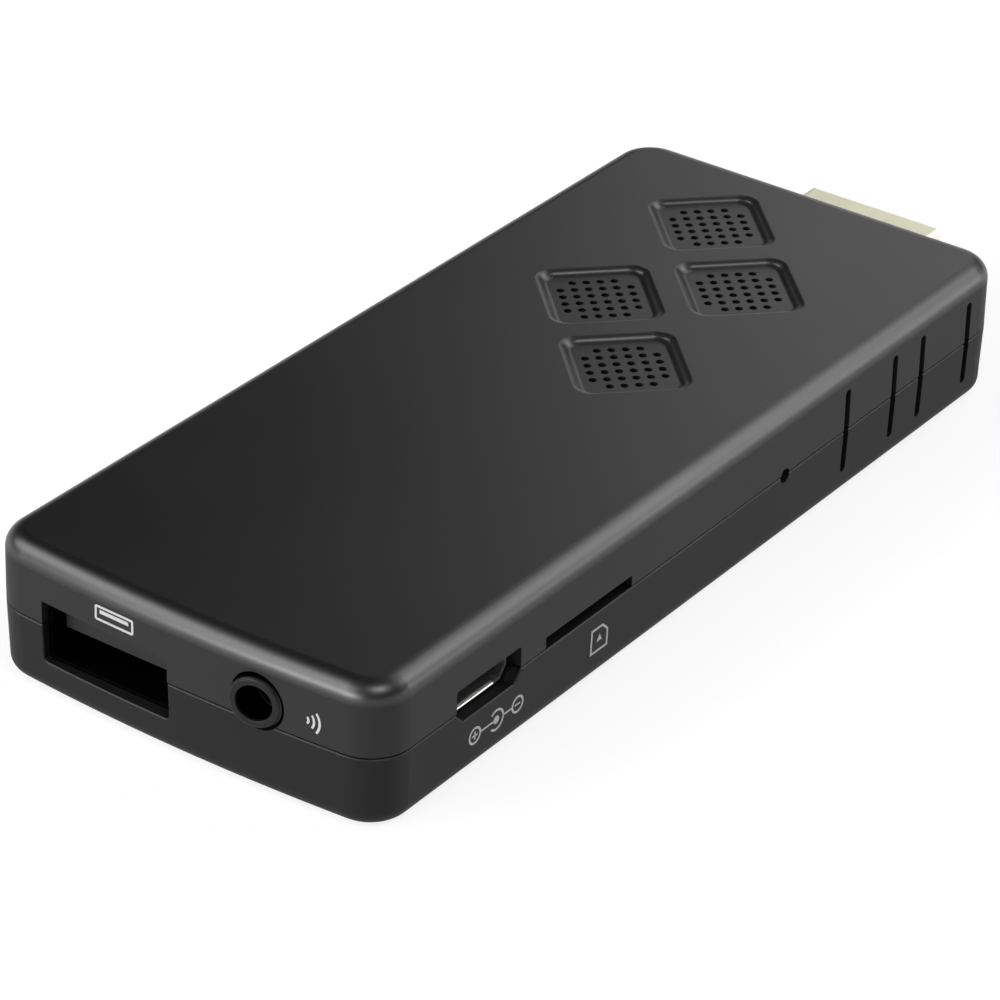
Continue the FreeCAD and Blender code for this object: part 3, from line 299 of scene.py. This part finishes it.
# %% [markdown]
# The plug that goes into the television is a box of folded sheet with a pale, slightly greenish
# gold over nickel. It is the only large light thing on the stick. Its lines run the way it is
# pushed in, and plugging has polished some of them.

# %% Finish of the plug
def plug_finish():
    finish, tree, shader = new_finish("pale_gold_plating", Metallic=1.0)
    rubs = grain(tree, 0.12 * mm, (40, 1, 1), detail=3.0)
    cloud = grain(tree, 3 * mm)
    drive(tree, shader,
          Base_Color=colours(tree, between(tree, cloud, 0, 1), (0.91, 0.88, 0.66), (0.96, 0.94, 0.73)),
          Roughness=between(tree, rubs, 0.30, 0.40))
    relief(tree, shader, rubs, 0.0012 * mm)
    return finish


finishes["plug_gold"] = plug_finish()
print("plug done")

# %% [markdown]
# The bodies inside the sockets are moulded in black nylon, plain and a little glossy. The card
# tray's slider is white acetal, a waxy plastic that lets a little light in.

# %% Finishes of the moulded insides
def nylon_finish():
    finish, tree, shader = new_finish("black_nylon", Specular_IOR_Level=0.4)
    flow = grain(tree, 1.4 * mm, (1, 3, 1))
    drive(tree, shader, Base_Color=colours(tree, between(tree, flow, 0, 1), (0.004, 0.004, 0.004),
                                           (0.009, 0.009, 0.009)),
          Roughness=between(tree, flow, 0.40, 0.52))
    relief(tree, shader, grain(tree, 0.08 * mm), 0.0010 * mm)
    return finish


def acetal_finish():
    finish, tree, shader = new_finish("white_acetal", Subsurface_Weight=0.15, Subsurface_Scale=0.001)
    flow = grain(tree, 1.0 * mm, (1, 4, 1))
    drive(tree, shader, Base_Color=colours(tree, between(tree, flow, 0, 1), (0.60, 0.60, 0.57),
                                           (0.68, 0.68, 0.65)),
          Roughness=between(tree, flow, 0.36, 0.46))
    relief(tree, shader, grain(tree, 0.10 * mm), 0.0010 * mm)
    return finish


finishes["moulded_black"] = nylon_finish()
finishes["slider_white"] = acetal_finish()
print("moulded insides done:", len(finishes))

# %% [markdown]
# Two pieces look different from the rest of their class. The big socket's sheet is plated black
# nickel, so its inside stays dark. The round jack's nose is matt nylon, with painted shade in its
# colour: only its leaning face stays lighter, and its bore and flanks are painted darker and duller
# with depth behind the face, measured along the nose's own axis.

# %% Black nickel, and the jack's nose with painted shade
jack_lean = math.radians(13.0)
jack_face = (-45.25 * mm, -8.05 * mm)
# Painted shade on the jack's nose begins at face_depth and is full at the second depth.
face_depth, painted_shade_depth = 0.08 * mm, 0.34 * mm


def black_nickel_finish():
    finish, tree, shader = new_finish("black_nickel", Metallic=1.0)
    rolled = grain(tree, 0.06 * mm, (30, 1, 1), detail=3.0)
    drive(tree, shader, Base_Color=colours(tree, between(tree, rolled, 0, 1), (0.016, 0.016, 0.017),
                                           (0.030, 0.030, 0.031)),
          Roughness=between(tree, rolled, 0.30, 0.42))
    relief(tree, shader, rolled, 0.0010 * mm)
    return finish


def jack_painted_shade_finish():
    finish, tree, shader = new_finish("jack_nylon_painted_shade")
    inward = maths(tree, "MULTIPLY", maths(tree, "SUBTRACT", along(tree, "X"), jack_face[0]),
                   math.cos(jack_lean))
    across = maths(tree, "MULTIPLY", maths(tree, "SUBTRACT", along(tree, "Y"), jack_face[1]),
                   math.sin(jack_lean))
    # Painted shade: colour, roughness and gloss fall from the face to dark with depth into the bore and
    # flanks.
    face = between(tree, maths(tree, "ADD", inward, across), 1, 0, face_depth, painted_shade_depth)
    drive(tree, shader, Base_Color=colours(tree, face, (0.0004, 0.0004, 0.0004), (0.003, 0.003, 0.003)),
          Roughness=between(tree, face, 1.0, 0.5, 0, 1),
          Specular_IOR_Level=between(tree, face, 0.0, 0.30, 0, 1))
    relief(tree, shader, grain(tree, 0.1 * mm), 0.0010 * mm)
    return finish


own_finish = {"usb_a_shell": black_nickel_finish(), "ir_jack_collar": jack_painted_shade_finish()}
print("own finishes:", sorted(own_finish))

# %% [markdown]
# Every piece of the construction now gets its finish: its own where it has one, and otherwise that
# of its class. Its shape isn't touched.

# %% Finishes on the pieces
for part in frame["record"]["subparts"]:
    mesh = frame["nodes"][part["node"]].data
    mesh.materials.clear()
    mesh.materials.append(own_finish.get(part["node"], finishes[part["material_slot"]]))
print("finishes:", len(finishes) + len(own_finish))

# %% [markdown]
# The small marks beside the sockets are pad printed: a soft stamp lays a film of pale ink. Each mark
# is drawn flat, as a few simple outlines, then given a hair of thickness and laid on its wall. They
# are plain signs that say what each opening is for.

# %% Ink
def ink_finish():
    finish, tree, shader = new_finish("pale_ink", Specular_IOR_Level=0.3)
    film = grain(tree, 0.12 * mm, detail=4.0)
    drive(tree, shader, Base_Color=colours(tree, between(tree, film, 0, 1), (0.46, 0.46, 0.46),
                                           (0.57, 0.57, 0.57)),
          Roughness=between(tree, film, 0.55, 0.70))
    relief(tree, shader, film, 0.002 * mm)
    return finish


ink = ink_finish()
print("ink done")

# %% [markdown]
# A mark is built from rings, dots, bars and frames. Each starts as a flat primitive, and edit mode
# insets it, rounds its corners or cuts it down to what is needed.

# %% Flat shapes
line_width = 0.20 * mm


def hollow():
    """In edit mode: leaves only a line round the edge of the chosen face."""
    bpy.ops.mesh.inset(thickness=line_width, use_even_offset=True)
    bpy.ops.mesh.delete(type="FACE")


def disc(radius, at=(0, 0), hole=True, half_angle=None, corners=64):
    """A flat ring or dot. A half angle keeps only the part within it of the way to the right."""
    bpy.ops.object.select_all(action="DESELECT")
    bpy.ops.mesh.primitive_circle_add(vertices=corners, radius=radius, fill_type="NGON",
                                      location=(*at, 0))
    bpy.ops.object.mode_set(mode="EDIT")
    bpy.ops.mesh.select_all(action="SELECT")
    if hole:
        hollow()
    if half_angle:
        a = math.radians(half_angle)
        for side in (1, -1):
            bpy.ops.mesh.select_all(action="SELECT")
            bpy.ops.mesh.bisect(plane_co=(*at, 0), plane_no=(-math.sin(a), side * math.cos(a), 0),
                                clear_outer=True)
    bpy.ops.object.mode_set(mode="OBJECT")
    return bpy.context.object


def bar(length, width, at=(0, 0), corner=0.0, hole=False):
    """A flat rectangle or frame, with rounded corners if asked."""
    bpy.ops.object.select_all(action="DESELECT")
    bpy.ops.mesh.primitive_plane_add(size=1, location=(*at, 0))
    bpy.ops.object.mode_set(mode="EDIT")
    bpy.ops.mesh.select_all(action="SELECT")
    bpy.ops.transform.resize(value=(length, width, 1))
    if corner:
        bpy.ops.mesh.bevel(offset=corner, segments=5, affect="VERTICES")
        bpy.ops.mesh.select_all(action="SELECT")
    if hole:
        hollow()
    bpy.ops.object.mode_set(mode="OBJECT")
    return bpy.context.object


# %% [markdown]
# The flat shapes of one mark are joined and given the film's thickness. Then the mark is turned and
# moved so that it lies on its wall, which takes the way to its right and the way the wall faces.

# %% Laying a mark on its wall
ink_height = 0.03 * mm


def lay(name, shapes, at, right, out):
    """Joins flat shapes into one film of ink and lays it on a wall that faces out."""
    bpy.ops.object.select_all(action="DESELECT")
    for shape in shapes:
        shape.select_set(True)
    bpy.context.view_layer.objects.active = shapes[0]
    bpy.ops.object.join()
    mark = bpy.context.object
    mark.name = name
    bpy.ops.object.transform_apply(location=True, rotation=True, scale=True)
    film = mark.modifiers.new("film", "SOLIDIFY")
    film.thickness = ink_height
    film.offset = 0.0
    bpy.ops.object.modifier_apply(modifier="film")
    out = Vector(out).normalized()
    right = Vector(right)
    right = (right - out * right.dot(out)).normalized()
    up = out.cross(right)
    mark.matrix_world = Matrix.Translation(Vector(at)) @ Matrix((right, up, out)).transposed().to_4x4()
    bpy.ops.object.transform_apply(location=True, rotation=True, scale=True)
    mark.data.materials.append(ink)
    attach(mark, "stick")
    print(name, "faces", len(mark.data.polygons))
    return mark


# %% [markdown]
# The walls lean in by up to two degrees so that the covers leave the mould, and the blunt end is
# bowed by nearly a millimetre. Each mark is laid square to the wall at its own place, so the
# film neither sinks in nor stands off.

# %% Where the walls are
half_wide = 19.2 * mm
lower_lean, upper_lean = math.radians(1.63), math.radians(0.58)
bow_radius = 200.8 * mm
blunt_end = -45.0 * mm


def near_wall(x, z):
    """A place on the lower cover's near wall, and the way the wall faces."""
    inward = math.tan(lower_lean) * (seam_height - z)
    return (x, -half_wide + inward, z), (0, -math.cos(lower_lean), -math.sin(lower_lean))


def blunt_wall(y, z):
    """A place on the upper cover's blunt end, and the way the wall faces."""
    bow = bow_radius - math.sqrt(bow_radius ** 2 - y ** 2)
    inward = math.tan(upper_lean) * (z - seam_height)
    facing = math.sqrt(1 - (y / bow_radius) ** 2)
    return (blunt_end + bow + inward, y, z), (-facing, y / bow_radius, math.sin(upper_lean))


# %% [markdown]
# The sign over the big socket shows the socket itself from the front: its outline, with the tongue
# in the upper half. One hollow bar and one solid bar are enough.

# %% Mark over the big socket
outline_size = (3.9 * mm, 1.35 * mm)
tongue_size = (2.9 * mm, 0.32 * mm)
socket_at, socket_out = blunt_wall(5.75 * mm, 9.95 * mm)
frame_outline = bar(*outline_size, corner=0.22 * mm, hole=True)
tongue_bar = bar(*tongue_size, at=(0, tongue_size[1] / 2))
lay("print_socket", [frame_outline, tongue_bar], socket_at, (0, -1, 0), socket_out)

# %% [markdown]
# The jack takes the eye of a remote control, so its sign is three arcs, like a signal that spreads.
# Each is a ring cut down to a sector, so its ends point to the middle.

# %% Mark beside the jack
wave_radii = (0.45 * mm, 0.95 * mm, 1.45 * mm)
wave_half_angle = 38
jack_at, jack_out = blunt_wall(-12.35 * mm, 8.25 * mm)
waves = [disc(radius, half_angle=wave_half_angle) for radius in wave_radii]
lay("print_signal", waves, jack_at, (0, -1, 0), jack_out)

# %% [markdown]
# The sign under the power socket says which way round the current goes: plus to the dot in the
# middle, minus to the open ring round it. The ring is cut open where the line to the plus passes.

# %% Mark under the small power socket
power_at, power_out = near_wall(-29.7 * mm, 3.17 * mm)
sign_x = 2.75 * mm
sign_radius = 0.78 * mm
ring_radius = 0.98 * mm
ring_opening = -0.62 * ring_radius
dot_radius = 0.36 * mm
reach = sign_x - sign_radius
stroke = line_width * 0.8
minus_length = 0.70 * mm
plus_arm, plus_arm_middle = 0.27 * mm, 0.215 * mm
power_shapes = [
    disc(dot_radius, hole=False),
    bar(reach - dot_radius, stroke, at=(-(reach + dot_radius) / 2, 0)),
    bar(reach - ring_radius, stroke, at=((reach + ring_radius) / 2, 0)),
    disc(sign_radius, at=(-sign_x, 0)),
    disc(sign_radius, at=(sign_x, 0)),
    bar(minus_length, stroke, at=(sign_x, 0)),
    bar(minus_length, stroke, at=(-sign_x, 0)),
    bar(stroke, plus_arm, at=(-sign_x, plus_arm_middle)),
    bar(stroke, plus_arm, at=(-sign_x, -plus_arm_middle)),
]
for side in (1, -1):
    half_ring = disc(ring_radius)
    bpy.ops.object.mode_set(mode="EDIT")
    for plane_place, plane_way in (((0, 0, 0), (0, -side, 0)), ((ring_opening, 0, 0), (-1, 0, 0))):
        bpy.ops.mesh.select_all(action="SELECT")
        bpy.ops.mesh.bisect(plane_co=plane_place, plane_no=plane_way, clear_outer=True)
    bpy.ops.object.mode_set(mode="OBJECT")
    power_shapes.append(half_ring)
lay("print_polarity", power_shapes, power_at, (1, 0, 0), power_out)

# %% [markdown]
# The sign under the card slot is the card itself, with one cut corner and an arrow that points to
# the slot. The corner is picked by its place and bevelled flat.

# %% Mark under the card slot
card_side, cut_corner, arrow_radius = 2.35 * mm, 0.75 * mm, 0.42 * mm
card_at, card_out = near_wall(-16.1 * mm, 3.72 * mm)
card_outline = bar(card_side, card_side)
bpy.ops.object.mode_set(mode="EDIT")
bpy.ops.mesh.select_all(action="DESELECT")
bpy.ops.object.mode_set(mode="OBJECT")
for corner in card_outline.data.vertices:
    corner.select = corner.co.x > 0 and corner.co.y > 0
bpy.ops.object.mode_set(mode="EDIT")
bpy.ops.mesh.bevel(offset=cut_corner, segments=1, affect="VERTICES")
bpy.ops.mesh.select_all(action="SELECT")
hollow()
bpy.ops.object.mode_set(mode="OBJECT")
arrow = disc(arrow_radius, hole=False, corners=3)
lay("print_card", [card_outline, arrow], card_at, (1, 0, 0), card_out)

# %% [markdown]
# The card is thrown out by a coil spring behind the tray's slider. It must shorten when the slider
# is pushed in, so it is wound here: one small circle for the wire, carried round and along its axis,
# then closed at both ends. It takes the place of the construction's plain spring.

# %% Eject spring
smooth_below = math.radians(40)
spring_low, spring_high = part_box("card_eject_spring")
spring_axis = (spring_low + spring_high) / 2
wire_radius = 0.08 * mm
coil_radius = (spring_high.z - spring_low.z) / 2 - wire_radius
turns, steps_per_turn = 9, 28
pitch = (spring_high.y - spring_low.y - 2 * wire_radius) / turns

bpy.ops.object.select_all(action="DESELECT")
bpy.ops.mesh.primitive_circle_add(vertices=10, radius=wire_radius, location=(0, 0, 0))
spring = bpy.context.object
spring.name = "eject_spring_coil"
bpy.ops.object.mode_set(mode="EDIT")
bpy.ops.mesh.select_all(action="SELECT")
bpy.ops.transform.translate(value=(coil_radius, 0, 0))
bpy.ops.object.mode_set(mode="OBJECT")
winding = spring.modifiers.new("winding", "SCREW")
winding.axis = "Y"
winding.angle = 2 * math.pi
winding.screw_offset = pitch
winding.iterations = turns
winding.steps = steps_per_turn
winding.render_steps = steps_per_turn
bpy.ops.object.modifier_apply(modifier="winding")
bpy.ops.object.mode_set(mode="EDIT")
bpy.ops.mesh.select_all(action="SELECT")
bpy.ops.mesh.fill_holes(sides=0)
bpy.ops.mesh.select_all(action="SELECT")
bpy.ops.mesh.normals_make_consistent(inside=False)
bpy.ops.object.mode_set(mode="OBJECT")
spring.location = (spring_axis.x, spring_low.y + wire_radius, spring_axis.z)
bpy.ops.object.transform_apply(location=True, rotation=True, scale=True)
bpy.ops.object.shade_smooth_by_angle(angle=smooth_below)
spring.data.materials.append(finishes["spring_steel"])
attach(spring, "stick")
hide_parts("card_eject_spring")
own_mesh(spring)
print("spring turns", turns, "faces", len(spring.data.polygons))

# %% [markdown]
# Under the reset button sits a snap dome: a thin arched strip of spring steel that clicks flat when
# it is pushed. It is cut from the wall of a wide tube, so the arch is a true arc, and then given the
# strip's thickness.

# %% Reset dome
dome_low, dome_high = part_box("reset_dome")
dome_sheet = 0.08 * mm
dome_rise = dome_high.y - dome_low.y - dome_sheet
dome_half = (dome_high.x - dome_low.x) / 2
dome_radius = (dome_half ** 2 + dome_rise ** 2) / (2 * dome_rise)
dome_mid = (dome_low + dome_high) / 2

bpy.ops.object.select_all(action="DESELECT")
bpy.ops.mesh.primitive_cylinder_add(vertices=160, radius=dome_radius, depth=dome_high.z - dome_low.z,
                                    end_fill_type="NOTHING",
                                    location=(dome_mid.x, dome_low.y + dome_radius, dome_mid.z))
dome = bpy.context.object
dome.name = "reset_dome_strip"
bpy.ops.object.mode_set(mode="EDIT")
bpy.ops.mesh.select_all(action="SELECT")
bpy.ops.mesh.bisect(plane_co=(0, dome_low.y + dome_rise, 0), plane_no=(0, 1, 0), clear_outer=True)
bpy.ops.object.mode_set(mode="OBJECT")
sheet = dome.modifiers.new("sheet", "SOLIDIFY")
sheet.thickness = dome_sheet
sheet.offset = -1.0
bpy.ops.object.modifier_apply(modifier="sheet")
bpy.ops.object.transform_apply(location=True, rotation=True, scale=True)
bpy.ops.object.shade_smooth_by_angle(angle=smooth_below)
dome.data.materials.append(finishes["spring_steel"])
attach(dome, "stick")
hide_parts("reset_dome")
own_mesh(dome)
print("dome radius in mm", round(dome_radius / mm, 2), "faces", len(dome.data.polygons))

# %% [markdown]
# The small power socket's sheet is rolled over at its mouth, so that a plug finds its way in. The
# lower edge curls outward and down, and catches one bright line of light. It is cut from the wall
# of a small tube, like the dome.

# %% Flared lip of the small power socket
shell_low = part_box("micro_usb_shell")[0]
lip_radius = 0.40 * mm
lip_sheet = 0.12 * mm
lip_turn = math.radians(46)
lip_ends = (-33.95 * mm, -28.80 * mm)
lip_top = shell_low.z + 0.31 * mm
lip_reach = lip_radius * math.sin(lip_turn)
lip_centre = Vector(((lip_ends[0] + lip_ends[1]) / 2, shell_low.y + lip_reach, lip_top - lip_radius))

bpy.ops.object.select_all(action="DESELECT")
bpy.ops.mesh.primitive_cylinder_add(vertices=96, radius=lip_radius, depth=lip_ends[1] - lip_ends[0],
                                    end_fill_type="NOTHING", location=lip_centre,
                                    rotation=(0, math.radians(90), 0))
lip = bpy.context.object
lip.name = "power_socket_lip"
bpy.ops.object.transform_apply(location=True, rotation=True, scale=True)
bpy.ops.object.mode_set(mode="EDIT")
for cut_way in ((0, 1, 0), (0, -math.cos(lip_turn), -math.sin(lip_turn))):
    bpy.ops.mesh.select_all(action="SELECT")
    bpy.ops.mesh.bisect(plane_co=lip_centre, plane_no=cut_way, clear_outer=True)
bpy.ops.object.mode_set(mode="OBJECT")
curl = lip.modifiers.new("sheet", "SOLIDIFY")
curl.thickness = lip_sheet
curl.offset = -1.0
bpy.ops.object.modifier_apply(modifier="sheet")
bpy.ops.object.shade_smooth_by_angle(angle=smooth_below)
lip.data.materials.append(finishes["socket_steel"])
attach(lip, "stick")
print("lip faces", len(lip.data.polygons))

# %% [markdown]
# The studio: a wide pale floor with a low round backdrop, and eight soft boxes in a dim room. Floor
# and backdrop are seen white by the camera and by gloss, and the floor still takes the stick's soft
# shadow: near the stick it glows a little less and takes more of its light from the lamps.

# %% Floor and backdrop
floor_radius, backdrop_height, floor_gap = 3.0, 0.35, 0.02 * mm
near_glow, far_glow = 0.82, 1.0
glow_starts, glow_full = 0.25, 0.80


def floor_finish():
    finish = bpy.data.materials.new("floor_white")
    finish.use_nodes = True
    tree = finish.node_tree
    tree.nodes.clear()
    rays = put(tree, "ShaderNodeLightPath").outputs
    seen = maths(tree, "MAXIMUM", rays["Is Camera Ray"], rays["Is Glossy Ray"])
    seen = maths(tree, "MAXIMUM", seen, rays["Is Transmission Ray"])
    plain = put(tree, "ShaderNodeBsdfDiffuse", {"Color": (0.75, 0.75, 0.75, 1)})
    away = put(tree, "ShaderNodeVectorMath", {0: place(tree)}, operation="LENGTH").outputs["Value"]
    paper = put(tree, "ShaderNodeBsdfDiffuse", {"Color": (0.22, 0.22, 0.22, 1)})
    glow = put(tree, "ShaderNodeEmission",
               {"Color": (1, 1, 1, 1),
                "Strength": between(tree, away, near_glow, far_glow, glow_starts, glow_full)})
    white = put(tree, "ShaderNodeAddShader", {0: paper.outputs[0], 1: glow.outputs[0]})
    both = put(tree, "ShaderNodeMixShader", {0: seen, 1: plain.outputs[0], 2: white.outputs[0]})
    put(tree, "ShaderNodeOutputMaterial", {"Surface": both.outputs[0]})
    return finish


bpy.ops.object.select_all(action="DESELECT")
bpy.ops.mesh.primitive_circle_add(vertices=96, radius=floor_radius, fill_type="NGON",
                                  location=(0, 0, -floor_gap))
floor = bpy.context.object
floor.name = "studio_floor"
floor.data.materials.append(floor_finish())

bpy.ops.object.select_all(action="DESELECT")
bpy.ops.mesh.primitive_cylinder_add(vertices=96, radius=floor_radius, depth=backdrop_height,
                                    end_fill_type="NOTHING", location=(0, 0, backdrop_height / 2))
backdrop = bpy.context.object
backdrop.name = "studio_backdrop"
backdrop.data.materials.append(floor.data.materials[0])
print("floor radius in m:", round(floor.dimensions.x / 2, 2))

# %% [markdown]
# A black glossy thing is drawn by what it reflects. The boxes beyond the blunt end draw the bright
# line over its rounded edge, and the ones on the near right draw the long edge. Two to the right,
# one high and one far, give the lid its slow fade from grey at the plug to near black. One high box
# over the near side draws the light lines in the four grilles. Their places were found by working
# back from the brightness of the edges.

# %% Soft boxes
aim = (cad_low + cad_high) / 2


def soft_box(name, azimuth, elevation, width, height, radiance, distance=0.8):
    """A square lamp on a sphere round the stick. Azimuth 0 is +X and 90 is +Y, in degrees."""
    a, e = math.radians(azimuth), math.radians(elevation)
    away = Vector((math.cos(a) * math.cos(e), math.sin(a) * math.cos(e), math.sin(e)))
    lamp = bpy.data.lights.new(name, "AREA")
    lamp.shape = "RECTANGLE"
    lamp.size = width
    lamp.size_y = height
    lamp.energy = radiance * math.pi * width * height
    holder = bpy.data.objects.new(name, lamp)
    bpy.context.scene.collection.objects.link(holder)
    holder.location = aim + away * distance
    holder.rotation_mode = "QUATERNION"
    holder.rotation_quaternion = away.to_track_quat("Z", "Y")
    return holder


boxes = {
    "blunt_end_strip": (167.6, 14, 0.50, 0.20, 11.5),
    "blunt_end_box": (135.0, 38, 0.80, 0.40, 4.2),
    "far_right_strip": (25.7, 22, 0.20, 0.50, 0.92),
    "near_right_high": (-30.0, 38, 0.50, 0.20, 2.65),
    "near_right_low": (-48.0, 6, 0.16, 0.16, 3.5),
    "near_right_strip": (-38.6, 22, 0.20, 0.50, 4.1),
    "right_high": (-8.6, 46, 0.50, 0.20, 3.05),
    "grille_box": (-118.0, 56, 0.28, 0.28, 7.6),
}
for name, values in boxes.items():
    soft_box(name, *values)

# %% [markdown]
# The room round the boxes gives almost no light, so a face that looks between two boxes stays dark.
# That is what makes a black casing look black.

# %% Dim room
room_light = 0.01
world = bpy.data.worlds.new("dim_room")
bpy.context.scene.world = world
world.use_nodes = True
world.node_tree.nodes["Background"].inputs["Color"].default_value = (1, 1, 1, 1)
world.node_tree.nodes["Background"].inputs["Strength"].default_value = room_light
print("world:", world.name)

# %% [markdown]
# The camera stands where the photo was taken from. Its place and turn were found by matching the
# casing's corners, openings and vents, so they are written as measured values.

# %% Camera
camera_place = Vector((-253.37, -176.85, 184.97)) * mm
camera_azimuth, camera_elevation, camera_roll = -54.769, 30.683, 1.608
camera_data = bpy.data.cameras.new("camera")
camera_data.sensor_width = 36.0
camera_data.lens = 155.6
camera_data.clip_start = 0.01
camera_data.clip_end = 10.0
camera = bpy.data.objects.new("camera", camera_data)
bpy.context.scene.collection.objects.link(camera)
turn = Matrix.Rotation(math.radians(camera_azimuth), 4, "Z")
turn = turn @ Matrix.Rotation(math.radians(90 - camera_elevation), 4, "X")
turn = turn @ Matrix.Rotation(math.radians(camera_roll), 4, "Z")
camera.matrix_world = Matrix.Translation(camera_place) @ turn
bpy.context.scene.camera = camera
bpy.context.scene.view_settings.view_transform = "Standard"
print("camera at mm:", [round(v / mm, 1) for v in camera.location])
